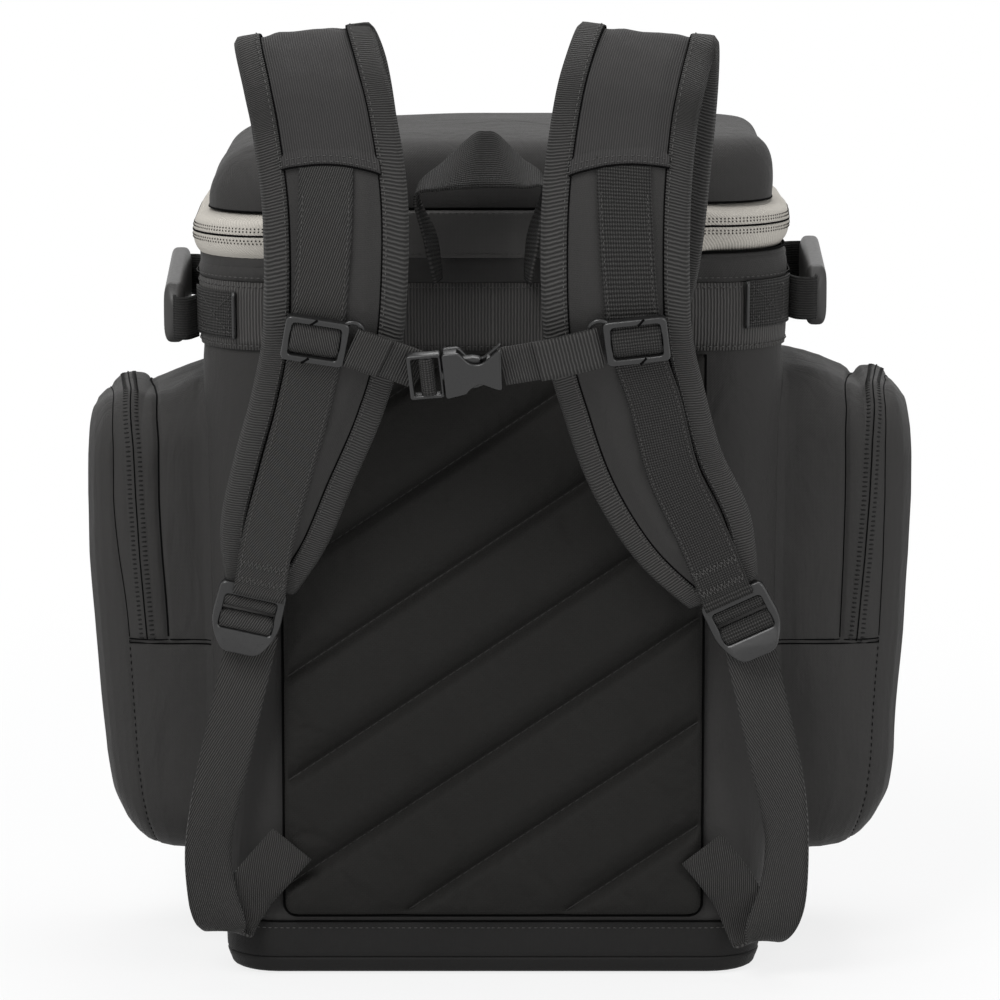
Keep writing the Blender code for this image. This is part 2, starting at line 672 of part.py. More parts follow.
def on_plane(x, z):
    """The point of the sternum plane at this x and height."""
    place, _, up, _ = sternum_out()
    climb = (z - place.z) / up.z
    return Vector((x, place.y + up.y * climb, z))


def rectangle(x0, y0, x1, y1):
    return [(x0, y0), (x1, y0), (x1, y1), (x0, y1)]


def make_sternum():
    _, across, up, out = sternum_out()
    for word, points, side in (("left", STRAP_LEFT, 1), ("right", STRAP_RIGHT, -1)):
        place = strap_stations(points)[SLIDER_STATION][5]
        middle = on_plane(place.x, sternum_out()[0].z)
        frame = frame_at(middle, across * side, up * side)
        wide, tall = SLIDER_HALF
        edge = rectangle(-wide, -tall, wide, tall)
        window = rectangle(-wide + 0.004, -tall + 0.004, wide - 0.009, tall - 0.004)
        slot = rectangle(wide - 0.0065, -tall + 0.003, wide - 0.003, tall - 0.003)
        plate(f"sternum_slider_{word}", [edge, window, slot], SLIDER_T, "plastic", frame, 0.0008)
    make_buckle(across, up, out)


def make_buckle(across, up, out):
    right = (across * math.cos(BUCKLE_TILT) + up * math.sin(BUCKLE_TILT)).normalized()
    tall = out.cross(right)
    frame = frame_at(on_plane(*BUCKLE_AT) + out * BUCKLE_LIFT, right, tall)
    edge = [(0.0, -0.014), (0.010, -0.014), (0.015, -0.0115), (0.0205, -0.0085), (0.029, -0.0135),
            (0.034, -0.0135), (0.034, 0.0135), (0.030, 0.0135), (0.021, 0.0062), (0.016, 0.0095),
            (0.010, 0.014), (0.0, 0.014)]
    female = plate("buckle_female", [edge], BUCKLE_T, "plastic", frame, 0.0008)
    slot = block("buckle_slot", (0.004, 0.022, 2 * BUCKLE_T), (0.0295, 0, 0), "plastic", frame)
    boolean(female, "DIFFERENCE", slot)
    size = (SOCKET_DEEP + 0.01, 2 * SOCKET_HALF, MALE_T + 0.0008)
    hollow = block("buckle_socket", size, (SOCKET_DEEP / 2 - 0.005, 0, 0), "plastic", frame)
    boolean(female, "DIFFERENCE", hollow)
    base = [(-0.020, -0.0135), (-0.0005, -0.0135), (-0.0005, -0.0022), (0.017, -0.0022),
            (0.017, 0.0022), (-0.0005, 0.0022), (-0.0005, 0.0135), (-0.020, 0.0135)]
    near = rectangle(-0.0175, -0.0115, -0.013, 0.0115)
    far = rectangle(-0.009, -0.0115, -0.0045, 0.0115)
    plate("buckle_male", [base, near, far], MALE_T, "plastic", frame)
    for word, sign in (("lower", -1), ("upper", 1)):
        arm = [(0.0, 0.0055), (0.014, 0.0048), (0.021, 0.0052), (0.0215, 0.0085), (0.017, 0.0098),
               (0.009, 0.0095), (0.0, 0.0095)]
        arm = [(u, sign * w) for u, w in arm]
        plate(f"buckle_prong_{word}", [arm], MALE_T - 0.0004, "plastic", frame)
    make_sternum_webbing(frame, out)


def make_sternum_webbing(frame, out):
    """The left webbing runs behind the male frame, and the right one starts at the female end."""
    behind = -out * BUCKLE_LIFT
    wide = SLIDER_HALF[0]
    for word, points, side, ends in (("left", STRAP_LEFT, 1, (-0.012, -0.022)),
                                     ("right", STRAP_RIGHT, -1, (0.0355, 0.043))):
        place = strap_stations(points)[SLIDER_STATION][5]
        middle = on_plane(place.x, sternum_out()[0].z)
        start = middle + Vector((side * (wide + STERNUM_WEB_GAP), 0, 0))
        stops = [frame @ Vector((u, 0, 0)) + behind for u in ends]
        level = start + Vector((side * STERNUM_LEVEL, 0, 0))
        path = [start, level, level.lerp(stops[1], 0.5), stops[1], stops[0]]
        rows = []
        for sign in (-1, 1):
            rows.append([p + w * sign * STERNUM_WEB_HALF for p, w in zip(path, web_ways(path, out))])
        sheet(f"sternum_webbing_{word}", rows, WEB_T, "webbing")


def web_ways(path, out):
    return [out.cross(t).normalized() for t in tangents(path)]


def make_zip_slider(name, place, along, out):
    """A slider with a bridge, and a pull whose end bar turns under the bridge."""
    frame = frame_at(place, along, Vector(out).cross(Vector(along)))
    long, wide, thick = ZIP_BODY
    body = block(name, ZIP_BODY, (0, 0, thick / 2), "plastic", frame, 0.0008)
    bridge = block(f"{name}_bridge", (0.010, 0.0022, 0.0046), (0, 0, thick + 0.0021), "plastic", frame)
    boolean(body, "UNION", bridge)
    window = block(f"{name}_window", (0.006, 2 * wide, 0.0024), (0, 0, ZIP_BAR), "plastic", frame)
    boolean(body, "DIFFERENCE", window)
    half = 0.0035
    edge = [(-0.0008, -half), (0.008, -half), (ZIP_PULL, -0.8 * half), (ZIP_PULL, 0.8 * half),
            (0.008, half), (-0.0008, half)]
    hole = rectangle(0.0008, -0.0018, 0.008, 0.0018)
    hinge = frame @ Matrix.Translation((0, 0, ZIP_BAR))
    plate(f"{name}_pull", [edge, hole], 0.0016, "rubber", hinge, 0.0002)


def make_zip_sliders():
    out = GAP + COIL_T + GAP
    for side, word in ((-1, "left"), (1, "right")):
        place = (side * LID_SLIDER_X, HALF_DEPTH + out, SPLIT_Z)
        make_zip_slider(f"lid_slider_{word}", place, (side, 0, 0), (0, 1, 0))
        share = sum(POCKET_ZIP) / 2
        rise = POCKET_ZIP_LOW + 0.03
        place = Vector(pocket_point(side, share, 1, rise, 0.0008 + WEB_T + 0.0008))
        make_zip_slider(f"pocket_slider_{word}", place, (0, 0, -1), (0, 1, 0))


make_body()
make_bands()
make_lid()
make_back_pad()
make_pockets()
make_grips()
make_harness()
make_haul_loop()
make_sternum()
make_zip_sliders()
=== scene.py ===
# %% [markdown]
# # A racket backpack
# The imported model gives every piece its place. This lesson dresses it: sewn cloth, webbing, zips
# and moulded buckles, each made from a bmesh grid, a filled outline or a row of small stitches.

# %% Load the frame
import math

import bmesh
import bpy
from mathutils import Matrix, Vector, noise


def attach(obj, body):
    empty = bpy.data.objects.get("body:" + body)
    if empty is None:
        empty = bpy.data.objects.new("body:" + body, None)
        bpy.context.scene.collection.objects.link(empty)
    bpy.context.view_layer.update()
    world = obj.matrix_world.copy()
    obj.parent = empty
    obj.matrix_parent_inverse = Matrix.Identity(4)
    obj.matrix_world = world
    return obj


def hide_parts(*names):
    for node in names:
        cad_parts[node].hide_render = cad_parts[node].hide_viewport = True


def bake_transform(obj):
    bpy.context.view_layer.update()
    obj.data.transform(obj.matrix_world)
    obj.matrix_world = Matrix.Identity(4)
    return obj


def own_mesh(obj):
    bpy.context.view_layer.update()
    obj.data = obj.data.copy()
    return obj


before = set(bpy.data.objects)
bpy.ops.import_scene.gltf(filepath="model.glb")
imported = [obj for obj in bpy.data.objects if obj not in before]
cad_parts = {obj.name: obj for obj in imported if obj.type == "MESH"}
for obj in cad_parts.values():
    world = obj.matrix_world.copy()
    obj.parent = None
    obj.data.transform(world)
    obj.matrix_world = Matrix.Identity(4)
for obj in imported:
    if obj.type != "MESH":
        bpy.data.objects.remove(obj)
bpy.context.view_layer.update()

# %% [markdown]
# ## Camera
# The picture is taken from about three metres with a long lens, a little above the bag, square to
# the wearer's side. A long lens keeps the straps, which stand nearest, from looking too large.

# %% Camera
TARGET = Vector((0.0041, 0.0, 0.268))
ELEVATION = math.radians(9.7)
lens = bpy.data.cameras.new("camera")
lens.sensor_width, lens.lens = 36, 178.5
camera = bpy.data.objects.new("camera", lens)
back = Vector((0, -math.cos(ELEVATION), math.sin(ELEVATION)))
camera.location = TARGET + back * 3.0
camera.rotation_mode = "QUATERNION"
camera.rotation_quaternion = (-back).to_track_quat("-Z", "Y")
bpy.context.scene.collection.objects.link(camera)
bpy.context.scene.camera = camera
print("camera at", [round(c, 3) for c in camera.location])

# %% [markdown]
# ## Finishes
# Black cloth is told apart by its texture, so every finish is built from thread patterns. Two
# groups draw them: ribs, for webbing and binding, and a plain weave, for the nylon. A third group
# varies the colour a little, as dust and handling do. A picture of cloth would do too, but a
# pattern in metres stays sharp at any distance. The patterns read each piece's own map, which is
# laid out in metres along and across the cloth.

# %% Node helpers
def node(tree, kind, inputs=(), **settings):
    """Adds a shader node, with each input linked to a socket or set to a value."""
    made = tree.nodes.new("ShaderNode" + kind)
    for key, value in settings.items():
        setattr(made, key, value)
    for key, value in dict(inputs).items():
        if isinstance(value, bpy.types.NodeSocket):
            tree.links.new(value, made.inputs[key])
        else:
            made.inputs[key].default_value = value
    return made


def calc(tree, operation, *values):
    return node(tree, "Math", enumerate(values), operation=operation).outputs[0]


def pattern_group(name, inputs, outputs):
    """An empty node group with named sockets, and its two end nodes."""
    tree = bpy.data.node_groups.new(name, "ShaderNodeTree")
    for label, kind, value in inputs:
        tree.interface.new_socket(label, in_out="INPUT", socket_type=kind).default_value = value
    for label, kind in outputs:
        tree.interface.new_socket(label, in_out="OUTPUT", socket_type=kind)
    return tree, tree.nodes.new("NodeGroupInput"), tree.nodes.new("NodeGroupOutput")


# %% Ribs: threads that run one way, a given number of times a metre
ribs, given, out = pattern_group(
    "ribs", [("Vector", "NodeSocketVector", (0, 0, 0)), ("Cycles", "NodeSocketVector", (0, 500, 0))],
    [("Height", "NodeSocketFloat")])
turn = node(ribs, "VectorMath", {0: given.outputs["Vector"], 1: given.outputs["Cycles"]},
            operation="DOT_PRODUCT").outputs["Value"]
uneven = node(ribs, "TexNoise", {"Vector": given.outputs["Vector"], "Scale": 260.0, "Detail": 1.0})
turn = calc(ribs, "MULTIPLY_ADD", uneven.outputs["Fac"], 0.3, turn)
wave = calc(ribs, "SINE", calc(ribs, "MULTIPLY", turn, 2 * math.pi))
ribs.links.new(calc(ribs, "MULTIPLY_ADD", wave, 0.5, 0.5), out.inputs["Height"])

# %% Weave: warp and weft that pass over each other by turns
weave, given, out = pattern_group(
    "weave", [("Vector", "NodeSocketVector", (0, 0, 0)), ("Threads", "NodeSocketFloat", 1200)],
    [("Height", "NodeSocketFloat")])
split = node(weave, "SeparateXYZ", {0: given.outputs["Vector"]})
waves = [calc(weave, "SINE", calc(weave, "MULTIPLY",
         calc(weave, "MULTIPLY", split.outputs[axis], given.outputs["Threads"]), math.pi)) for axis in (0, 1)]
over = calc(weave, "GREATER_THAN", calc(weave, "MULTIPLY", *waves), 0.0)
warp, weft = (calc(weave, "ABSOLUTE", w) for w in waves)
chosen = node(weave, "Mix", {"Factor": over, 2: warp, 3: weft})
weave.links.new(chosen.outputs[0], out.inputs["Height"])

# %% Tone: soft patches and fine flecks over a base colour
tone, given, out = pattern_group(
    "tone", [("Vector", "NodeSocketVector", (0, 0, 0)), ("Base", "NodeSocketColor", (0.04, 0.04, 0.04, 1)),
             ("Dust", "NodeSocketColor", (0.1, 0.1, 0.1, 1)), ("Amount", "NodeSocketFloat", 0.12)],
    [("Colour", "NodeSocketColor"), ("Grain", "NodeSocketFloat")])
broad = node(tone, "TexNoise", {"Vector": given.outputs["Vector"], "Scale": 9.0, "Detail": 4.0})
fine = node(tone, "TexNoise", {"Vector": given.outputs["Vector"], "Scale": 420.0, "Detail": 2.0})
both = calc(tone, "MULTIPLY", calc(tone, "ADD", broad.outputs["Fac"], fine.outputs["Fac"]),
            given.outputs["Amount"])
dusty = node(tone, "Mix", {"Factor": both, 6: given.outputs["Base"], 7: given.outputs["Dust"]},
             data_type="RGBA")
tone.links.new(dusty.outputs[2], out.inputs["Colour"])
tone.links.new(fine.outputs["Fac"], out.inputs["Grain"])


# %% One function for every finish
THREAD_DEPTH, DENT_DEPTH = 0.0004, 0.006


def finish(name, colour, dust, rough, patterns, relief, amount=0.12, sheen=0.0, shade=0.35, gloss=0.1,
           crinkle=0.0):
    """A material with thread patterns in its bump and in its colour, where threads dip and darken.

    The amount is that of the dust, the shade is the painted shade that darkens the dips between the
    threads, and crinkle adds the dents of slack cloth.
    """
    made = bpy.data.materials.new(name)
    made.use_nodes = True
    tree = made.node_tree
    shader = tree.nodes["Principled BSDF"]
    place = node(tree, "TexCoord").outputs["Object"]
    laid = node(tree, "UVMap", uv_map="cloth").outputs[0]
    toned = node(tree, "Group", node_tree=tone)
    tree.links.new(place, toned.inputs["Vector"])
    toned.inputs["Base"].default_value = (*colour, 1)
    toned.inputs["Dust"].default_value = (*dust, 1)
    toned.inputs["Amount"].default_value = amount
    height, shown = toned.outputs["Grain"], toned.outputs["Colour"]
    for kind, value in patterns:
        drawn = node(tree, "Group", node_tree=kind)
        tree.links.new(laid, drawn.inputs["Vector"])
        drawn.inputs[1].default_value = value
        height = calc(tree, "MULTIPLY_ADD", drawn.outputs[0], 2.0, height)
        # Painted shade: the colour darkens where the threads dip, as the shade in their dips would.
        low = calc(tree, "MULTIPLY_ADD", drawn.outputs[0], shade, 1 - shade)
        shown = node(tree, "Mix", {"Factor": 1.0, 6: shown, 7: low}, data_type="RGBA",
                     blend_type="MULTIPLY").outputs[2]
    tree.links.new(shown, shader.inputs["Base Color"])
    tree.links.new(calc(tree, "MULTIPLY_ADD", toned.outputs["Grain"], 0.16, rough - 0.08),
                   shader.inputs["Roughness"])
    bump = node(tree, "Bump", {"Height": height, "Strength": relief, "Distance": THREAD_DEPTH})
    if crinkle:
        drawn = node(tree, "VectorMath", {0: place, 1: (1, 1, 0.45)}, operation="MULTIPLY").outputs[0]
        slack = node(tree, "TexNoise", {"Vector": drawn, "Scale": 38.0, "Detail": 3.0, "Distortion": 0.8})
        creased = node(tree, "Bump", {"Height": slack.outputs["Fac"], "Strength": crinkle,
                                      "Distance": DENT_DEPTH})
        tree.links.new(creased.outputs[0], bump.inputs["Normal"])
    tree.links.new(bump.outputs[0], shader.inputs["Normal"])
    shader.inputs["Specular IOR Level"].default_value = gloss
    shader.inputs["Sheen Weight"].default_value = sheen
    shader.inputs["Sheen Roughness"].default_value = 0.4
    return made


# %% The finishes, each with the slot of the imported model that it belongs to
DUST = (0.09, 0.087, 0.084)
BLACK = (0.067, 0.0653, 0.063)
FINE_WEAVE = [(weave, 1300)]
FINISHES = {}


def add_finish(name, slot, colour, rough, patterns, relief, dust=DUST, **more):
    FINISHES[name] = (finish(name, colour, dust, rough, patterns, relief, **more), slot)


add_finish("nylon", "fabric", (0.0335, 0.0324, 0.0316), 0.6, FINE_WEAVE, 0.25, sheen=0.02, shade=0.3,
           crinkle=0.4)
# Painted light: a lighter copy of the nylon for the hinge cloth, against the shade between the straps and
# under the haul loop.
add_finish("painted_light_nylon", "fabric", (0.092, 0.089, 0.086), 0.6, FINE_WEAVE, 0.25, sheen=0.02, shade=0.3)
add_finish("base_nylon", "fabric", (0.0125, 0.0122, 0.0120), 0.6, FINE_WEAVE, 0.25, amount=0.06, shade=0.3)
# Partly painted light: the belt's ribbed cloth is lighter than the plain nylon, and its colour is raised
# further to offset the shade that the straps cast on it.
add_finish("ribbed_nylon", "fabric", (0.088, 0.085, 0.082), 0.58, [(ribs, (540, 0, 0))], 0.7, amount=0.1,
           sheen=0.02, shade=0.6)
add_finish("strap_ribs", "fabric", (0.044, 0.0425, 0.042), 0.6, [(ribs, (720, 0, 0))], 0.5, sheen=0.02,
           shade=0.45)
add_finish("pad_cloth", "back_fabric", (0.0118, 0.0114, 0.0106), 0.72, [(weave, 900)], 0.25, amount=0.06,
           shade=0.25, gloss=0.08)
for name, threads, relief, shade in (
        ("webbing", ((700, 0, 0), (0, 620, 0)), 0.9, 0.6), ("twill", ((-720, 335, 0),), 0.9, 0.75),
        ("twill_back", ((720, 335, 0),), 0.9, 0.75), ("binding", ((110, 640, 0),), 1.0, 0.7),
        ("cross_ribs", ((0, 640, 0),), 1.0, 0.7)):
    add_finish(name, "webbing", BLACK, 0.6, [(ribs, cycles) for cycles in threads], relief, sheen=0.03,
               shade=shade)
add_finish("zip_tape", "tape", (0.53, 0.50, 0.45), 0.75, [(ribs, (520, 400, 0))], 0.35, (0.34, 0.32, 0.285),
           amount=0.18, sheen=0.02, shade=0.14)
# Painted shade: the zip tape's colour darkened as if in shade, for the gaps between its teeth.
add_finish("zip_gap", "tape", (0.045, 0.041, 0.036), 0.6, [], 0.1, (0.1, 0.095, 0.085))
add_finish("thread", "webbing", (0.075, 0.073, 0.071), 0.6, [], 0.3)
# Painted shade: a near-black finish for thin lines and dashes along seams, creases, edges and slits, standing
# for the shade in their grooves.
add_finish("seam", "webbing", (0.0022, 0.0022, 0.0022), 0.9, [], 0.1, (0.004, 0.004, 0.004), gloss=0.04)
add_finish("moulded", "plastic", (0.0090, 0.0090, 0.0092), 0.30, [], 0.06, amount=0.05, gloss=0.5)
add_finish("grip", "rubber", (0.036, 0.035, 0.034), 0.42, [], 0.15, amount=0.1, gloss=0.3)
add_finish("sheet_plastic", "sheet_plastic", (0.25, 0.25, 0.25), 0.5, [], 0.1)
print("finishes:", len(FINISHES))


# %% [markdown]
# ## Making a piece
# Most of this bag is flat cloth. A grid of squares is laid out by a small function that says where
# each point of the cloth goes, and its own map remembers where it came from. That keeps the
# threads straight on a bent piece. The alternative, moving a few points by hand, gives no map.

# %% Pieces
TO_WEARER = Vector((0, -1, 0))
WEB_THICK = 0.0015


def piece(bm, name, look, body="bag", thick=0.0, offset=-1.0, stands_for=(), sharp=None):
    """Turns a bmesh into an object that moves with a body and stands for CAD nodes."""
    mesh = bpy.data.meshes.new(name)
    bm.to_mesh(mesh)
    bm.free()
    made = bpy.data.objects.new(name, mesh)
    bpy.context.scene.collection.objects.link(made)
    material, slot = FINISHES[look]
    mesh.materials.append(material)
    mesh.polygons.foreach_set("use_smooth", [True] * len(mesh.polygons))
    if sharp:
        mesh.set_sharp_from_angle(angle=math.radians(sharp))
    if thick:
        wall = made.modifiers.new("thickness", "SOLIDIFY")
        wall.thickness, wall.offset = thick, offset
    if body:
        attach(made, body)
    if stands_for:
        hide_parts(*stands_for)
    print(name, "has", len(mesh.polygons), "faces")
    return made


def cloth_mesh(cells, place, flat=None, inside=None, facing=None):
    """A grid laid out by place(s, t), with its map in metres and its face turned outwards."""
    bm = bmesh.new()
    bmesh.ops.create_grid(bm, x_segments=cells[0], y_segments=cells[1], size=0.5)
    layer = bm.loops.layers.uv.new("cloth")
    for face in bm.faces:
        for loop in face.loops:
            s, t = loop.vert.co.x + 0.5, loop.vert.co.y + 0.5
            loop[layer].uv = (s * flat[0], t * flat[1]) if flat else (s, t)
    for vert in bm.verts:
        vert.co = place(vert.co.x + 0.5, vert.co.y + 0.5)
    bmesh.ops.remove_doubles(bm, verts=bm.verts, dist=1e-6)
    bm.normal_update()
    if inside is None and facing is None:
        bmesh.ops.recalc_face_normals(bm, faces=bm.faces)
    else:
        turned = sum(f.normal.dot(facing or f.calc_center_median() - Vector(inside)) * f.calc_area()
                     for f in bm.faces)
        if turned < 0:
            bmesh.ops.reverse_faces(bm, faces=bm.faces)
    if flat is None:
        box_map(bm, layer)
    return bm


def box_map(bm, layer):
    """Lays the map on by the axis that each face looks along, so threads stay level and upright."""
    bm.normal_update()
    for face in bm.faces:
        n = [abs(c) for c in face.normal]
        axis = n.index(max(n))
        for loop in face.loops:
            co = loop.vert.co
            loop[layer].uv = ((co.y, co.z), (co.x, co.z), (co.x, co.y))[axis]


def cloth(name, cells, place, look, flat=None, inside=None, facing=None, **rest):
    return piece(cloth_mesh(cells, place, flat, inside, facing), name, look, **rest)


def along(points, t):
    """A point of the smooth curve through these points, from 0 at the first to 1 at the last."""
    last = len(points) - 1
    at = min(max(t, 0.0), 1.0) * last
    i = min(int(at), last - 1)
    f = at - i
    four = [points[min(max(i + k, 0), last)] for k in (-1, 0, 1, 2)]
    weights = (-f / 2 + f * f - f ** 3 / 2, 1 - 2.5 * f * f + 1.5 * f ** 3,
               f / 2 + 2 * f * f - 1.5 * f ** 3, -f * f / 2 + f ** 3 / 2)
    return [sum(w * p[n] for w, p in zip(weights, four)) for n in range(len(four[0]))]


def level(pairs, value):
    """The height of a broken line through (place, height) pairs."""
    for (a, low), (b, high) in zip(pairs, pairs[1:]):
        if value <= b:
            return low + (high - low) * max(0.0, value - a) / (b - a)
    return pairs[-1][1]


def ease(low, high, value):
    f = min(max((value - low) / (high - low), 0.0), 1.0)
    return f * f * (3 - 2 * f)


def pressed(distance, width):
    """A soft bump that is 1 at no distance and fades over a width."""
    return math.exp(-(distance / width) ** 2)


def folds(place, size, seed=0.0):
    """Soft noise from -1 to 1, for slack cloth."""
    return noise.noise(Vector(place) / size + Vector((seed, seed * 1.7, -seed)))


# %% Rows of small things: stitches, zip teeth, cords, and dashes and lines of painted shade
ROWS = {}


def spaced(points, pitch):
    """Places at equal steps along a line of (point, outward) pairs, with the direction there."""
    made, left = [], 0.0
    for (a, out), (b, _) in zip(points, points[1:]):
        step = Vector(b) - Vector(a)
        while left < step.length:
            made.append((Vector(a) + step * (left / step.length), step.normalized(), Vector(out)))
            left += pitch
        left -= step.length
    return made


def sew(points, body="bag", look="thread", size=(0.0026, 0.0006, 0.0006), pitch=0.0036, name="stitching"):
    """Notes a row of small rounded things, which are made together at the end."""
    ROWS.setdefault((name, body, look), []).extend((p, d, o, size) for p, d, o in spaced(points, pitch))


def gathered(chunks):
    """One bmesh from many small ones, which are quicker to build than one that keeps growing."""
    whole = bmesh.new()
    for small in chunks:
        mesh = bpy.data.meshes.new("chunk")
        small.to_mesh(mesh)
        small.free()
        whole.from_mesh(mesh)
        bpy.data.meshes.remove(mesh)
    return whole


def beads(things):
    """Small rounded solids of twenty faces, each stretched along its row."""
    bm = bmesh.new()
    bm.loops.layers.uv.new("cloth")
    for place, ahead, out, size in things:
        side = out.cross(ahead).normalized()
        up = ahead.cross(side)
        turn = Matrix((ahead * size[0], side * size[1], up * size[2])).transposed().to_4x4()
        turn.translation = place
        bmesh.ops.create_icosphere(bm, subdivisions=1, radius=0.5, matrix=turn)
    return bm


def make_rows():
    for (name, body, look), things in ROWS.items():
        bm = gathered(beads(things[n:n + 60]) for n in range(0, len(things), 60))
        piece(bm, f"{name}_{body}", look, body)
        print(name, body, len(things))


PIPES = {}


# A round cord; in the near-black seam finish it is a line of painted shade.
def pipe(points, radius=0.0007, body="bag", look="thread", name="piping"):
    PIPES.setdefault((name, body, look), []).append(([Vector(p) for p in points], radius))


def tube(points, radius):
    """A round cord through points, closed at both ends."""
    bm = bmesh.new()
    layer = bm.loops.layers.uv.new("cloth")
    ends = [points[0], *points, points[-1]]
    rings = []
    for a, p, b in zip(ends, points, ends[2:]):
        turn = (b - a).to_track_quat("Z", "Y").to_matrix().to_4x4()
        turn.translation = p
        made = bmesh.ops.create_circle(bm, cap_ends=False, segments=6, radius=radius, matrix=turn)
        rings.append({e for v in made["verts"] for e in v.link_edges})
    for a, b in zip(rings, rings[1:]):
        bmesh.ops.bridge_loops(bm, edges=list(a | b))
    for ring in (rings[0], rings[-1]):
        bmesh.ops.contextual_create(bm, geom=list(ring))
    bmesh.ops.recalc_face_normals(bm, faces=bm.faces)
    box_map(bm, layer)
    return bm


def make_pipes():
    for (name, body, look), lines in PIPES.items():
        piece(gathered(tube(*line) for line in lines), f"{name}_{body}", look, body)
        print(name, body, len(lines))


# %% [markdown]
# ## The bag's outline
# Seen from above the bag is a rounded rectangle that widens a little towards the top. Everything
# sewn round it (base, belt, collar, zip, lid) follows that outline, so one function gives it.

# %% Outline
FLAT, DEPTH = 0.127, 0.105
RIM, SPLIT = 0.428, 0.443
WIDTHS = ((0.033, 0.1585), (0.05, 0.1625), (0.085, 0.1655), (0.12, 0.1665), (0.27, 0.169), (RIM, 0.172))


def half_width(z):
    return level(WIDTHS, z)


def wall(share, z, out=0.0):
    """A point on the outline: share 0 is the middle of the back, 0.25 the right side, 0.5 the front."""
    turn_in = half_width(z) - FLAT
    radius = turn_in + out
    straight = DEPTH - turn_in
    arc = max(radius, 1e-4) * math.pi / 2
    legs = (FLAT, arc, 2 * straight, arc, FLAT)
    side = 1 if share <= 0.5 else -1
    left = (share if share <= 0.5 else 1 - share) * 2 * sum(legs)
    if left <= legs[0]:
        x, y = left, -DEPTH - out
    elif left <= sum(legs[:2]):
        a = (left - legs[0]) / arc * math.pi / 2
        x, y = FLAT + radius * math.sin(a), -straight - radius * math.cos(a)
    elif left <= sum(legs[:3]):
        x, y = FLAT + radius, -straight + left - sum(legs[:2])
    elif left <= sum(legs[:4]):
        a = (left - sum(legs[:3])) / arc * math.pi / 2
        x, y = FLAT + radius * math.cos(a), straight + radius * math.sin(a)
    else:
        x, y = FLAT - (left - sum(legs[:4])), DEPTH + out
    return Vector((side * x, y, z))


def side_x(y, z):
    """How far the outline stands from the middle, to either side, at a distance forward."""
    turn_in = half_width(z) - FLAT
    over = max(abs(y) - (DEPTH - turn_in), 0.0)
    return FLAT + math.sqrt(max(turn_in ** 2 - over ** 2, 0.0))


def outward(share):
    """The way that the outline faces at a share."""
    a, b = wall(share - 0.002, RIM), wall(share + 0.002, RIM)
    return (b - a).cross(Vector((0, 0, 1))).normalized()


def skew(p, z):
    """How far the zip has slipped at the rear corners: down at the left and up at the right."""
    slip = ease(0.105, 0.125, abs(p.x)) * (1 - ease(-0.06, 0.03, p.y)) * ease(0.4145, RIM, z)
    return slip * (0.0036 if p.x > 0 else -0.0024)


def slipped(share, z, out=0.0):
    p = wall(share, z, out)
    p.z += skew(p, z)
    return p


def hoop(z, out, start=0.0, stop=1.0, steps=160):
    """A line round the bag with the way out at each point, for stitches."""
    shares = [start + (stop - start) * n / steps for n in range(steps + 1)]
    return [(slipped(s % 1.0, z, out), outward(s % 1.0)) for s in shares]


ROUND = 1.03
MIDDLE = (0, 0, 0.25)
print("outline at the rim:", [round(c, 4) for c in wall(0.25, RIM)])

# %% [markdown]
# ## Body, base and belt
# The body is one bag of nylon that goes slack between the seams, so its sides get shallow folds,
# inward only, which leaves room for the pad on its back. The base is a deeper tray with rounded
# lower edges, and the belt is one loop of ribbed webbing below the zip.

# %% Body
BODY_LOW = 0.0325


def body_place(s, t):
    z = BODY_LOW + t * (RIM - BODY_LOW)
    p = wall(s, z)
    slack = abs(math.sin(2 * math.pi * s)) ** 0.7 * math.sin(math.pi * t) ** 0.6
    dent = folds((p.x, p.y, p.z * 2.2), 0.09, 3) * 0.5 + folds((p.x * 2, p.y * 2, p.z), 0.05, 7) * 0.35 + 0.4
    free = max(ease(0.08, 0.1, abs(p.y)), ease(0.36, 0.375, z), 1 - ease(0.045, 0.06, z))
    return wall(s, z, -0.0045 * slack * free * max(dent, 0.0))


cloth("body_shell", (180, 70), body_place, "nylon", (ROUND, 0.395), MIDDLE, thick=0.0028,
      stands_for=("side_panel_left", "side_panel_right", "front_panel", "back_lining"))

# %% Base tray
BASE = ((0.033, 0.0), (0.024, 0.0006), (0.0125, 0.0004), (0.0112, -0.0008), (0.0098, 0.0002),
        (0.006, -0.0012), (0.0016, -0.0036), (0.0002, -0.011))
BASE_TOP, BASE_WALL, BASE_FLOOR = 0.033, 0.7, 0.3


def base_place(s, t):
    if t < BASE_WALL:
        z, out = along(BASE, t / BASE_WALL)
        p = wall(s, BASE_TOP, out)
        p.z = max(z, 0.0)
        return p
    p = wall(s, BASE_TOP, -0.011) * (1 - (t - BASE_WALL) / BASE_FLOOR)
    p.z = 0.0
    return p


cloth("base_tray", (160, 34), base_place, "base_nylon", None, (0, 0, 0.03), thick=0.0026,
      stands_for=("base_boot",))
# Painted shade: near-black lines at the base's upper seam and round its lower edge.
pipe([p for p, _ in hoop(BASE_TOP, 0.0002)], 0.0005, look="seam")
sew(hoop(0.029, 0.0006))
pipe([Vector((p.x, p.y, 0.0113)) for p, _ in hoop(BASE_TOP, -0.0006)], 0.0004, look="seam")

# %% Belt and collar
BELT_LOW, BELT_TALL = 0.374, 0.0395
COLLAR_LOW, COLLAR_TALL = 0.4138, 0.0139


def belt_place(s, t):
    return wall(s, BELT_LOW + BELT_TALL * t, 0.0013 - 0.0006 * abs(2 * t - 1) ** 3)


def collar_place(s, t):
    bulge = 0.0006 * (1 - t) + 0.0012 * math.sin(math.pi * t) - 0.0018 * t
    return slipped(s, COLLAR_LOW + COLLAR_TALL * t, bulge)
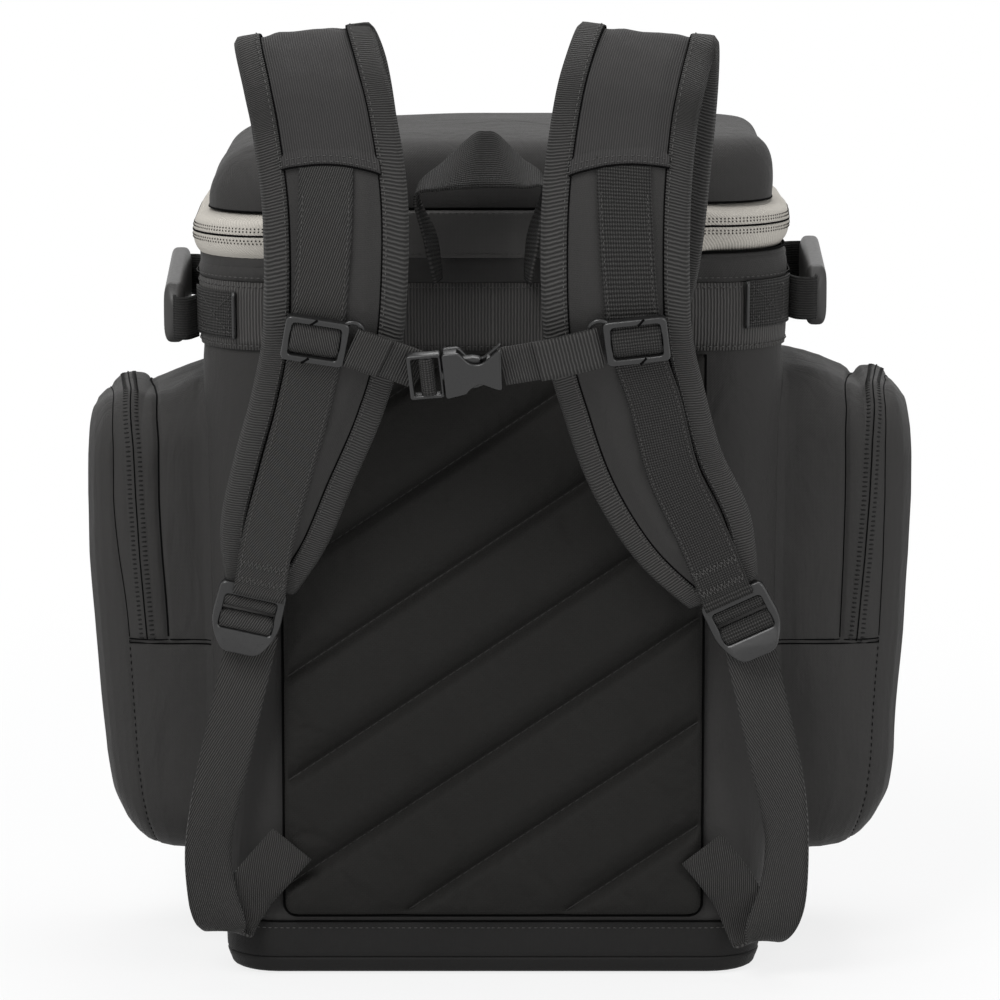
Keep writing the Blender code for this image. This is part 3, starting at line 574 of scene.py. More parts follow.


# The belt's finish carries painted light against the straps' shade.
cloth("belt", (200, 6), belt_place, "ribbed_nylon", (ROUND, BELT_TALL), MIDDLE, thick=WEB_THICK,
      stands_for=("girth_webbing",))
for z in (0.3765, 0.411):
    sew(hoop(z, 0.0013), size=(0.0028, 0.0009, 0.0008))
cloth("collar", (200, 8), collar_place, "nylon", (ROUND, 0.014), MIDDLE, thick=0.0015,
      stands_for=("zip_collar",))
HINGE = 0.118 / ROUND
sew(hoop(0.4165, 0.0022, HINGE, 1 - HINGE))
# Painted shade: a near-black line just below the zip tape.
pipe([p for p, _ in hoop(0.4278, -0.0010)], 0.0008, look="seam")
for name in ("base_board", "frame_sheet"):
    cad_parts[name].data.materials.clear()
    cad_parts[name].data.materials.append(FINISHES["sheet_plastic"][0])

# %% [markdown]
# ## Lid and zip
# The lid is a soft box lid that opens on a cloth hinge at the back. Its walls lean in and its top
# is crowned. The zip runs round the sides and the front: two pale tapes that bulge outwards, each
# with two rows of dark dashes, painted shade between its teeth, and a near-black line of painted
# shade where they meet. The upper half moves with the lid. Behind them the hinge is one strip of
# cloth, painted lighter than the nylon against the shade that falls there. It is made where it lies
# and moves with neither the bag nor the lid.

# %% Lid
SOFT = ((0.0127, 0.0050), (0.0165, 0.0050), (0.022, 0.0056), (0.028, 0.0075), (0.034, 0.0108),
        (0.0395, 0.0150), (0.0438, 0.0205), (0.0472, 0.0270), (0.0496, 0.0350))
BOXY = ((0.0127, 0.0055), (0.0165, 0.0052), (0.022, 0.0050), (0.029, 0.0054), (0.036, 0.0064),
        (0.0425, 0.0086), (0.0475, 0.0122), (0.0508, 0.0175), (0.0522, 0.0250))
LID_WALL, LID_TOP = 0.62, 0.38


def lid_edge(s, t):
    """A point of the lid's wall, whose top edge is rounder on the left than on the right."""
    (rise, inset), (rise_b, inset_b) = along(SOFT, t), along(BOXY, t)
    f = ease(-0.165, 0.0, wall(s, RIM).x)
    p = wall(s, RIM)
    side_in = 0.0028 * ease(-0.095, -0.06, p.y) * ease(0.1, 0.16, p.x)
    p = wall(s, RIM, -inset * (1 - f) - inset_b * f - side_in)
    p.z = SPLIT + rise * (1 - f) + rise_b * f + skew(p, SPLIT) * (1 - 0.7 * t)
    return p


def lid_place(s, t):
    if t < LID_WALL:
        p = lid_edge(s, t / LID_WALL)
        sag = folds((p.x * 1.2, p.y * 1.2, p.z * 2.5), 0.07, 11) * ease(0.05, 0.35, t)
        return p + outward(s) * (0.0016 * sag - 0.0006)
    f = (t - LID_WALL) / LID_TOP
    edge = lid_edge(s, 1.0)
    p = edge * (1 - f)
    p.z = edge.z * (1 - f) + (SPLIT + 0.0535) * f + 0.0018 * math.sin(math.pi * min(f, 0.5))
    p.z += 0.0014 * folds((p.x, p.y, 0), 0.06, 5) * ease(LID_WALL, 0.75, t)
    return p


cloth("lid_cover", (200, 70), lid_place, "nylon", None, (0, 0, 0.44), body="lid", thick=0.0026,
      stands_for=("lid_shell",))
# Painted shade: a near-black line round the lid's lower edge.
pipe([lid_place(n / 160, 0.015) for n in range(161)], 0.0006, "lid", "seam")


# %% Zip tapes and hinge cloth
ZIP_LOW, ZIP_TALL = 0.4281, 0.0276
SWELL = ((-0.0014,), (0.0020,), (0.0036,), (0.0040,), (0.0034,), (0.0008,), (-0.0092,))


def zip_line(share, z, out=0.0):
    """A point of the zip band, which swells where its teeth meet and tucks in at the hinge."""
    s = min(max((share - HINGE) / (1 - 2 * HINGE), 0.0), 1.0)
    ends = ease(0, 0.03, s) * ease(0, 0.03, 1 - s)
    p = wall(share % 1.0, RIM)
    tuck = 0.0028 * (1 - ease(-0.085, 0.0, p.y)) if p.x > 0 else 0.0
    swell = along(SWELL, (z - RIM) / 0.0277)[0]
    swell -= max(swell, 0.0) * 0.45 * ease(0.0, 0.08, p.y)
    return slipped(share % 1.0, z, swell * (ends if swell > 0 else 1.0) - tuck * ends + out)


for word, body, low, high in (("lower", "bag", ZIP_LOW, 0.4429), ("upper", "lid", 0.4431, 0.4557)):
    def tape_place(s, t, low=low, high=high):
        return zip_line(HINGE + (1 - 2 * HINGE) * s, low + (high - low) * t)

    cloth(f"zip_tape_{word}_cloth", (260, 10), tape_place, "zip_tape", (0.8, 0.0145), MIDDLE, body=body,
          thick=0.0018, stands_for=(f"zip_tape_{word}", f"zip_coil_{word}"))
    sign = 1 if word == "upper" else -1
    shares = [HINGE + (1 - 2 * HINGE) * n / 400 for n in range(401)]
    # Painted shade: two rows of dark dashes in each tape, for the shade between the teeth.
    for away in (0.0026, 0.0043):
        sew([(zip_line(s, SPLIT + sign * away, 0.0001), outward(s)) for s in shares], body, "zip_gap",
            (0.0011, 0.0012, 0.0007), 0.0023, "zip_teeth")
    # Painted shade: a near-black line where the two tapes meet.
    pipe([zip_line(s, SPLIT + sign * 0.0002) for s in shares[::2]], 0.0004, body, "seam", "zip_line")
    back_z = low + 0.0022 if word == "lower" else high - 0.0015
    hem = [HINGE * (2 * n / 60 - 1) % 1.0 for n in range(61)]
    sew([(slipped(s, back_z, 0.0002), TO_WEARER) for s in hem], body)


def hinge_place(s, t):
    tuck = -0.0092 * ease(0.93, 1.0, t)
    return slipped((HINGE - 0.0005) * (2 * s - 1) % 1.0, ZIP_LOW + ZIP_TALL * t, tuck)


# The hinge cloth is painted lighter than the nylon, against the shade that falls on it.
hinge_cloth = cloth("hinge_cloth", (60, 30), hinge_place, "painted_light_nylon", (0.235, 0.028), MIDDLE, body=None,
                    thick=0.0018, stands_for=("hinge_strip", "lid_hinge_strip"))
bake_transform(hinge_cloth)
for side in (HINGE, 1 - HINGE):
    for low, high, body in ((0.4283, 0.4428, "bag"), (0.4432, 0.4554, "lid")):
        pipe([slipped(side, low + (high - low) * n / 6, 0.0006) for n in range(7)], 0.0016, body)

# %% [markdown]
# ## Back pad
# The back pad is foam under dark cloth, sewn down along slanting lines so that it swells between
# them. A height drawn by formula gives the lines. A short cloth simulation then blows the cloth
# up a little while those lines are held, which gives each roll its own shape.

# %% Cloth simulation
def settle(made, held, pressure, grow, frames, cap):
    """Inflates a piece for some frames while the held points stay, and keeps the shape it ends in."""
    mesh = made.data
    start = [v.co.copy() for v in mesh.vertices]
    group = made.vertex_groups.new(name="held")
    for v in mesh.vertices:
        group.add([v.index], held(v.co), "REPLACE")
    step = made.modifiers.new("settle", "CLOTH")
    step.settings.vertex_group_mass = "held"
    step.settings.use_pressure = True
    step.settings.uniform_pressure_force = pressure
    step.settings.shrink_min = -grow
    step.settings.quality = 6
    step.settings.mass = 0.3
    step.settings.bending_stiffness = 0.4
    step.settings.effector_weights.gravity = 0
    step.collision_settings.use_self_collision = False
    scene = bpy.context.scene
    for number in range(1, frames + 1):
        scene.frame_set(number)
    shaped = made.evaluated_get(bpy.context.evaluated_depsgraph_get()).to_mesh()
    ends = [v.co.copy() for v in shaped.vertices]
    made.evaluated_get(bpy.context.evaluated_depsgraph_get()).to_mesh_clear()
    made.modifiers.remove(step)
    scene.frame_set(1)
    moved = []
    for v, a, b in zip(mesh.vertices, start, ends):
        shift = b - a
        v.co = a + shift * min(1.0, cap / max(shift.length, 1e-9))
        moved.append(min(shift.length, cap))
    made.vertex_groups.remove(group)
    mesh.update()
    print(made.name, "moved by up to", round(max(moved) * 1000, 2), "mm")


# %% Back pad
PAD_HALF, PAD_LOW, PAD_HIGH, PAD_ROLL = 0.1235, 0.037, 0.372, 0.010
PAD_CORNER, FIRST_LINE = 0.008, 0.0545
UP = Vector((-0.665, 0, 1)).normalized()
STEP = 0.0625 * UP.z


def above_line(x, z):
    """How far a point is above the sewn line below it, measured square to the lines."""
    return ((x + PAD_HALF) * UP.x + (z - FIRST_LINE) * UP.z) % STEP


def pad_half(z):
    """Half the pad's width at a height: its lower corners are rounded."""
    up = min(z - PAD_LOW, PAD_CORNER)
    return PAD_HALF - PAD_CORNER + math.sqrt(PAD_CORNER ** 2 - (PAD_CORNER - up) ** 2)


def pad_edge(x, z):
    return min(pad_half(z) - abs(x), z - PAD_LOW, PAD_HIGH - z)


def pad_place(s, t):
    z = PAD_LOW + (PAD_HIGH - PAD_LOW) * t
    x = (2 * s - 1) * pad_half(z)
    edge = max(pad_edge(x, z), 0.0)
    roll = math.sqrt(1 - (1 - min(edge / PAD_ROLL, 1.0)) ** 2)
    return Vector((x, -DEPTH - 0.0008 - 0.0020 * min(edge / 0.001, 1.0) - roll * 0.0072, z))


def near_line(co):
    """Whether a point is held by a sewn line or by the pad's edge."""
    up = above_line(co.x, co.z)
    return min(up, STEP - up) < 0.003 or pad_edge(co.x, co.z) < 0.004


pad = cloth("back_pad_quilt", (90, 122), pad_place, "pad_cloth", (0.247, 0.335), None, TO_WEARER,
            stands_for=("back_pad",))
settle(pad, lambda co: 1.0 if near_line(co) else 0.0, pressure=1.6, grow=0.01, frames=14, cap=0.0022)

# %% Sewn lines of the pad, pressed into a finer mesh: a long slope above each line and a short one below
bm = bmesh.new()
bm.from_mesh(pad.data)
bmesh.ops.subdivide_edges(bm, edges=bm.edges, cuts=1, use_grid_fill=True)
for vert in bm.verts:
    up = above_line(vert.co.x, vert.co.z)
    slope = min(1.0, max(0.0, 1 - up / 0.016)) ** 2 + min(1.0, max(0.0, 1 - (STEP - up) / 0.006)) ** 1.5
    vert.co.y += 0.0072 * min(slope, 1.0) * ease(0.0, 0.005, pad_edge(vert.co.x, vert.co.z))
bm.normal_update()
bm.to_mesh(pad.data)
bm.free()
pad.data.polygons.foreach_set("use_smooth", [True] * len(pad.data.polygons))
heights = [PAD_LOW + (PAD_HIGH - PAD_LOW) * (n / 80) ** 2 for n in range(81)]
rim = [[Vector((sign * pad_half(z), -DEPTH - 0.0022, z)) for z in heights] for sign in (-1, 1)]
# Painted shade: near-black lines down the pad's sides.
pipe(rim[0][::-1] + rim[1], 0.0008, look="seam")
# Painted highlight: a thin cord in the lighter nylon along each sewn line, for the light that its edge
# catches.
for number in range(-4, 6):
    line = []
    for n in range(121):
        x = PAD_HALF * (n / 60 - 1)
        z = FIRST_LINE + (number * STEP - (x + PAD_HALF) * UP.x) / UP.z
        if PAD_LOW + 0.003 < z < PAD_HIGH - 0.003 and pad_edge(x, z) > 0.002:
            line.append(Vector((x, -DEPTH - 0.0030, z)))
    if len(line) > 3:
        pipe(line, 0.0004, look="nylon", name="pad_lines")

# %% [markdown]
# ## Side pockets
# Each pocket is a boxy bag of nylon, fullest above its middle. A zip band runs up the side facing
# the wearer, over the top and down the front, between two seams, and a level seam closes it below.
# A ring of points, pushed out from the body in steps, gives the whole form. The seams are pressed
# into that form and marked by a thin near-black line of painted shade, since a raised cord would read
# as piping.

# %% Pocket form
REACH = {-1: 0.0718, 1: 0.0794}
POCKET_HALF, POCKET_LOW, CORNER = 0.073, 0.062, 0.036
INNER, ZIP, OUTER = 0, 1, 2

# How full a pocket is at a height, as a share of its reach.
FULL = ((0.06, 0.74), (0.089, 0.83), (0.101, 0.866), (0.125, 0.907), (0.161, 0.941), (0.197, 0.97),
        (0.245, 0.997), (0.281, 1.0), (0.305, 0.99), (0.32, 0.978), (0.335, 0.955), (0.345, 0.92),
        (0.356, 0.87))

# How high its top is at a share of the reach, and how far its outline grows there.
TOP = {-1: ((0.0, 0.352), (0.11, 0.3495), (0.53, 0.3386), (0.62, 0.3402), (0.7, 0.3406), (0.81, 0.3395),
            (0.87, 0.337), (0.97, 0.331), (1.0, 0.329)),
       1: ((0.0, 0.3585), (0.15, 0.357), (0.4, 0.3522), (0.57, 0.3466), (0.65, 0.3420), (0.72, 0.3446),
           (0.82, 0.3452), (0.92, 0.3438), (1.0, 0.3345))}
GROW = ((0.0, 0.0045), (0.05, 0.0014), (0.12, 0.0008), (0.35, 0.0006), (0.53, 0.0), (0.7, -0.0018),
        (0.8, -0.0042), (0.88, -0.0078), (0.94, -0.0122), (1.0, -0.021))

# The height of the level seam, and how far out the inner seam, the zip and the outer seam run.
LEVEL = 0.1955
SEAMS = {-1: (0.405, 0.54, 0.775), 1: (0.50, 0.625, 0.80)}
FRONT_SEAMS = {-1: (0.39, 0.538, 0.72), 1: (0.35, 0.486, 0.66)}


def seam_reach(side, which, y, z):
    """How far out a pocket's seam runs: straight in front, leaning out behind and over the top."""
    rear = SEAMS[side][which]
    if which == ZIP:
        rear += 0.57 * min(max(z - 0.197, 0.0), 0.14)
    elif side < 0:
        rear -= (0.04, 0, 0.075)[which] * (1 - ease(LEVEL, 0.285, z))
    front = FRONT_SEAMS[side][which]
    in_front = ease(0.0, 0.05, y) * (1 - ease(0.297, 0.34, z))
    lean = 0.15 * ease(0.297, 0.33, z) * min(max((y + POCKET_HALF) / 0.11, 0.0), 1.0)
    return rear + (front - rear) * in_front + lean


def rounded(share, half, low, high, corner):
    """A point (y, z) of a rounded rectangle, from the middle of its bottom by way of its rear side."""
    arc = corner * math.pi / 2
    legs = (half - corner, arc, high - low - 2 * corner, arc, half - corner)
    side = -1 if share <= 0.5 else 1
    left = (share if share <= 0.5 else 1 - share) * 2 * sum(legs)
    if left <= legs[0]:
        y, z = left, low
    elif left <= sum(legs[:2]):
        a = (left - legs[0]) / corner
        y, z = half - corner + corner * math.sin(a), low + corner - corner * math.cos(a)
    elif left <= sum(legs[:3]):
        y, z = half, low + corner + left - sum(legs[:2])
    elif left <= sum(legs[:4]):
        a = (left - sum(legs[:3])) / corner
        y, z = half - corner + corner * math.cos(a), high - corner + corner * math.sin(a)
    else:
        y, z = half - corner - (left - sum(legs[:4])), high
    return side * y, z


def pocket_x(side, reach, y, z):
    """How far a point of the pocket is from the bag's middle, at a share of the pocket's reach."""
    low = 0.035 * (1 - ease(0.09, 0.17, z)) if side > 0 else 0.0
    return side * (side_x(y, z) + 0.0004 + reach * REACH[side] * (level(FULL, z) + low))


def pocket_at(side, reach, share):
    grow = level(GROW, reach)
    y, z = rounded(share, POCKET_HALF + grow, POCKET_LOW - grow, level(TOP[side], reach), CORNER)
    return Vector((pocket_x(side, reach, y, z), y, z))


def pocket_share(side, z, reach):
    """The share at which the rear side of the pocket reaches a height."""
    grow = level(GROW, reach)
    low, high, half = POCKET_LOW - grow, level(TOP[side], reach), POCKET_HALF + grow
    arc = CORNER * math.pi / 2
    whole = 2 * (2 * (half - CORNER) + 2 * arc + high - low - 2 * CORNER)
    return (half - CORNER + arc + z - low - CORNER) / whole


def pocket_out(side, reach, share):
    """The way that the pocket's form faces at a point."""
    a, b = pocket_at(side, reach, share - 0.003), pocket_at(side, reach, share + 0.003)
    c = pocket_at(side, min(reach + 0.02, 1), share)
    d = pocket_at(side, max(reach - 0.02, 0), share)
    n = (b - a).cross(c - d).normalized()
    middle = Vector((side * 0.2, 0, 0.2))
    return n if n.dot(pocket_at(side, reach, share) - middle) > 0 else -n


def pocket_skin(side, reach, share, out=0.0):
    """A point of the finished pocket: its form, with slack cloth and with its seams pressed in."""
    p = pocket_at(side, reach, share)
    upper = ease(LEVEL - 0.001, LEVEL + 0.001, p.z)
    slack = 0.0020 * folds((p.x, p.y * 0.8, p.z * 0.5), 0.035, 2 + side) * ease(0.04, 0.25, reach)
    slack += (0.0012 * folds((p.x * 3, p.y, p.z * 1.2), 0.03, 6 + side) * ease(0.3, 0.345, p.z)
              * (1 - ease(0.3, 0.5, reach)))
    inner, outer = (seam_reach(side, which, p.y, p.z) for which in (INNER, OUTER))
    seam = 0.0014 * pressed((reach - inner) * REACH[side], 0.0016) * upper
    seam += 0.0010 * pressed((reach - outer) * REACH[side], 0.0016)
    seam += (0.0010 * pressed(p.z - LEVEL, 0.0016) * (1 - ease(outer - 0.02, outer, reach))
             * ease(0.05, 0.06, abs(p.y)))
    band = 0.0012 * ease(inner, inner + 0.1, reach) * (1 - ease(outer - 0.1, outer, reach)) * upper
    return p + pocket_out(side, reach, share) * (slack * 0.7 - 0.0008 - seam + band + out)


POCKET_WALL, POCKET_FACE = 0.8, 0.2


def pocket_place(side):
    def place(s, t):
        if t < POCKET_WALL:
            return pocket_skin(side, t / POCKET_WALL, s)
        f = (t - POCKET_WALL) / POCKET_FACE
        edge, middle = pocket_skin(side, 1.0, s), Vector((side * 0.2385, 0, 0.205))
        p = edge.lerp(middle, f)
        p.x = (edge.x * (1 - f) + pocket_x(side, 1.0, p.y, p.z) * f
               + side * 0.0012 * folds(p, 0.06, 9) * ease(0, 0.2, f))
        return p
    return place


def seam_line(side, which, share, away=0.0, out=0.0):
    """A point on a seam of the pocket, or beside it, with the way out."""
    form = pocket_at(side, SEAMS[side][which], share)
    reach = seam_reach(side, which, form.y, form.z) + away / REACH[side]
    return pocket_skin(side, min(reach, 1.0), share, out), pocket_out(side, min(reach, 1.0), share)


# %% Pockets
for side, word in ((-1, "left"), (1, "right")):
    middle = (side * 0.2, 0, 0.2)
    cloth(f"pocket_{word}_cloth", (220, 130), pocket_place(side), "nylon", None, middle, thick=0.002,
          stands_for=(f"pocket_{word}",))
    foot = pocket_share(side, LEVEL + 0.0015, 0.55)
    shares = [foot + (1 - 2 * foot) * n / 240 for n in range(241)]

    def tape_place(s, t, side=side, foot=foot):
        swell = 0.0010 * math.sin(math.pi * s) - 0.0004
        return seam_line(side, ZIP, foot + (1 - 2 * foot) * t, 0.0075 * (2 * s - 1), swell)[0]

    cloth(f"pocket_zip_{word}_tape", (10, 180), tape_place, "nylon", None, middle, thick=0.001,
          stands_for=(f"pocket_zip_{word}",))
    for away in (-0.0031, 0.0031):
        sew([seam_line(side, ZIP, s, away, 0.0002) for s in shares], "bag", "base_nylon",
            (0.0014, 0.0038, 0.0011), 0.0028, "pocket_zip_teeth")
    # Painted shade: near-black lines along the zip and the seams.
    for which, out, radius in ((ZIP, 0.0008, 0.0004), (INNER, 0.0001, 0.0006 if side < 0 else 0.0004),
                               (OUTER, 0.0001, 0.0003)):
        pipe([seam_line(side, which, s, 0.0, out)[0] for s in shares], radius, look="seam")
    for y_side in (0, 1):
        for z in (LEVEL + 0.0010, LEVEL - 0.0014):
            seam = []
            for n in range(25):
                reach = 0.02 + (seam_reach(side, OUTER, y_side - 0.5, LEVEL) - 0.02) * n / 24
                share = pocket_share(side, z, reach)
                seam.append(pocket_skin(side, reach, 1 - share if y_side else share, 0.0003))
            pipe(seam, 0.0004, look="seam")
    low = [foot * n / 60 for n in range(61)]
    # Painted shade: near-black dashes along the outer seam below the level seam.
    for run in (low, [1 - s for s in low]):
        sew([seam_line(side, OUTER, s, 0.0, 0.0003) for s in run], look="seam", pitch=0.0042)

# %% [markdown]
# ## Side grips
# A short loop of webbing stands off each side, in a moulded cover that keeps its shape. Two sewn
# patches hold its ends to the belt. The webbing is one ribbon from patch to patch, made where it
# rests and tied to no body.

# %% Grips
GRIP_Z, GRIP_HALF = 0.3965, 0.0125
COVER_REAR, COVER_LONG = -0.0664, 0.1288


def corner_share(degrees, z):
    """The share of the outline at an angle round the right rear corner, 0 at the side and -90 at the back."""
    radius = half_width(z) - FLAT
    arc = radius * math.pi / 2
    total = 2 * (2 * FLAT + 2 * arc + 2 * (DEPTH - radius))
    return (FLAT + arc * (90 + degrees) / 90) / total


def splay(x, y):
    """A grip's distance from the middle: its loop stands further out at the front than at the rear."""
    return x + 0.0036 * ease(0.175, 0.184, x) * (y - COVER_REAR) / COVER_LONG


for side, word in ((-1, "left"), (1, "right")):
    wall_x = half_width(GRIP_Z) + 0.0019
    end = wall_x + (0.0165 if side > 0 else 0.0140)
    lift, lean, low = (0.0063, 0.032, 0.0) if side > 0 else (-0.0024, 0.06, -0.0013)
    patch_z, patch_start = (GRIP_Z + 0.0040, -66) if side > 0 else (GRIP_Z - 0.0025, -62)

    def flip(p, side=side):
        return Vector((side * p.x, p.y, p.z))

    for name, sign in (("rear", -1), ("front", 1)):
        def patch_place(s, t, sign=sign, flip=flip, patch_z=patch_z, start=patch_start):
            share = corner_share(start - (2 + start) * s, GRIP_Z)
            p = wall(share if sign < 0 else 0.5 - share, patch_z + (2 * t - 1) * (GRIP_HALF + 0.0012), 0.0028)
            return flip(p)

        cloth(f"grip_patch_{name}_{word}_web", (24, 8), patch_place, "webbing", (0.05, 0.026), (0, 0, GRIP_Z),
              thick=WEB_THICK, stands_for=(f"grip_patch_{name}_{word}",))
        corners = [(0.08, 0.12), (0.62, 0.12), (0.62, 0.88), (0.08, 0.88), (0.08, 0.12), (0.62, 0.88)]
        for route in (corners, [(0.08, 0.88), (0.62, 0.12)]):
            line = []
            for (s0, t0), (s1, t1) in zip(route, route[1:]):
                line += [patch_place(s0 + (s1 - s0) * n / 8, t0 + (t1 - t0) * n / 8) for n in range(9)]
            out = Vector((side * 0.6, sign * 0.8, 0))
            sew([(p + out * 0.0004, out) for p in line])
        pipe([patch_place(0.0, n / 8) + out * 0.0004 for n in range(9)], 0.0014, look="moulded",
             name="patch_rim")
    route = [(0.1735, -0.062), (0.178, -0.0712), (end - 0.006, -0.0735), (end - 0.0012, -0.0718),
             (end, -0.066), (end, -0.03), (end, 0.03), (end, 0.062), (end - 0.0012, 0.0678),
             (end - 0.006, 0.0695), (0.178, 0.0672), (0.1735, 0.058)]

    def grip_place(s, t, route=route, side=side, lift=lift + low, lean=lean):
        x, y = along(route, t)
        return Vector((side * splay(x, y), y, GRIP_Z + lift + lean * y + (2 * s - 1) * GRIP_HALF))

    band = cloth(f"grip_webbing_{word}_web", (8, 120), grip_place, "webbing", (0.025, 0.21),
                 (side * 0.1, 0, GRIP_Z), body=None, thick=WEB_THICK, offset=0,
                 stands_for=(f"grip_webbing_{word}",))
    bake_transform(band)

    def cover_place(s, t, side=side, end=end, lift=lift, lean=lean):
        y = COVER_REAR + COVER_LONG * t
        cap = math.sqrt(max(0.0, 1 - (1 - min(t, 1 - t, 0.05) / 0.05) ** 2)) * 0.24 + 0.76
        cap *= 0.0 if t in (0.0, 1.0) else 1.0
        a = 2 * math.pi * s
        x = math.copysign(abs(math.cos(a)) ** 0.55, math.cos(a)) * 0.0064 * cap
        z = math.copysign(abs(math.sin(a)) ** 0.5, math.sin(a)) * 0.0178 * cap
        return Vector((side * (splay(end, y) + x), y, GRIP_Z + lift + lean * y + z))

    cloth(f"grip_cover_{word}_moulding", (40, 40), cover_place, "grip", None, (side * end, 0, GRIP_Z),
          body=f"grip_{word}", stands_for=(f"grip_cover_{word}",))

# %% [markdown]
# ## Shoulder straps
# A padded strap leaves the back, arches over and hangs forward down to its buckle. It is a closed
# tube whose section is thin at the bound edges and crowned in the middle. The upper part is
# covered in ribbed cloth and the lower part in plain nylon, and a folded seam joins the two. The
# padding is foam that keeps its form, so the shape is drawn by formula and needs no simulation.

# %% Strap lines, as x, distance behind the back, height, half width and the webbing's shift
STRAPS = {
    "left": (
        (-0.090, 0.0042, 0.400, 0.036, 0), (-0.090, 0.03, 0.398, 0.037, 0),
        (-0.090, 0.058, 0.409, 0.038, 0), (-0.089, 0.076, 0.440, 0.0385, 0),
        (-0.0905, 0.082, 0.490, 0.0385, 0), (-0.0965, 0.086, 0.540, 0.038, 0),
        (-0.1045, 0.103, 0.5635, 0.0378, 0), (-0.0985, 0.121, 0.5425, 0.0384, 0),
        (-0.0925, 0.124, 0.5157, 0.0392, 0), (-0.0869, 0.122, 0.4673, 0.0396, -0.0055),
        (-0.0891, 0.103, 0.400, 0.0386, -0.009), (-0.0985, 0.082, 0.3573, 0.037, -0.008),
        (-0.1135, 0.059, 0.3134, 0.0343, -0.005), (-0.1263, 0.042, 0.2727, 0.0305, -0.003),
        (-0.1346, 0.032, 0.2415, 0.0205, 0)),
    "right": (
        (0.0735, 0.0042, 0.400, 0.036, 0), (0.0735, 0.03, 0.398, 0.037, 0),
        (0.0735, 0.058, 0.409, 0.038, 0), (0.0775, 0.076, 0.440, 0.039, 0),
        (0.0825, 0.082, 0.490, 0.039, 0), (0.0868, 0.086, 0.540, 0.0385, 0),
        (0.0858, 0.103, 0.5625, 0.038, 0), (0.0778, 0.121, 0.5420, 0.0388, 0),
        (0.0724, 0.124, 0.5157, 0.0394, 0), (0.0682, 0.122, 0.4673, 0.0404, 0.005),
        (0.0698, 0.103, 0.400, 0.0406, 0.0095), (0.0793, 0.082, 0.3573, 0.040, 0.0125),
        (0.0932, 0.059, 0.3134, 0.0386, 0.01), (0.1147, 0.042, 0.2727, 0.0355, 0.0065),
        (0.1330, 0.032, 0.2375, 0.022, 0.002)),
}
SEAM = 0.603
BOUND = 0.0135
STRAP_LONG = 0.62


def strap(word, t):
    """A strap's place at t, with its half width, its ways along, across and out, and its webbing line."""
    x, away, z, half, shift = along(STRAPS[word], t)
    a, b = along(STRAPS[word], t - 0.012), along(STRAPS[word], t + 0.012)
    ahead = Vector((b[0] - a[0], a[1] - b[1], b[2] - a[2])).normalized()
    level_out = Vector((1, 0, (0.085 if word == "left" else -0.085) * pressed(t - 0.43, 0.07)))
    across = (level_out - ahead * level_out.dot(ahead)).normalized()
    place = Vector((x, -DEPTH - away, z))
    return place, half, ahead, across, ahead.cross(across), place + across * shift


def strap_height(edge):
    """Half the strap's thickness at a distance from its edge: thin where it is bound, then crowned."""
    if edge < BOUND:
        return 0.0026 * math.sqrt(max(0.0, 1 - (1 - min(edge / 0.0026, 1.0)) ** 2)) + 0.0010 * edge / BOUND
    return 0.0034 + 0.0036 * ease(BOUND, BOUND + 0.012, edge)


def strap_place(word):
    def place(s, t):
        middle, half, _, across, out, _ = strap(word, t)
        a = half * (4 * s - 1 if s < 0.5 else 3 - 4 * s)
        cap = math.sqrt(max(0.0, 1 - (1 - min(t, 1 - t, 0.008) / 0.008) ** 2))
        h = strap_height(half - abs(a)) * cap * (1 - 0.45 * pressed(t - 0.43, 0.05))
        h += 0.0005 * folds((a * 2, t, 0), 0.02, 4) * cap * ease(0.015, 0.02, half - abs(a))
        return middle + across * a + out * (h if s < 0.5 else -h)
    return place


def binding_place(word, side):
    def place(s, t):
        middle, half, _, across, out, _ = strap(word, t)
        c = (2 * s - 1) * BOUND
        edge = abs(c)
        round_edge = 0.0009 * math.sqrt(max(0.0, 1 - (edge / 0.003) ** 2)) if edge < 0.003 else 0.0
        h = strap_height(edge) + 0.0009 * ease(0, 0.003, edge)
        return middle + across * side * (half - edge + round_edge) + out * math.copysign(h, c)
    return place


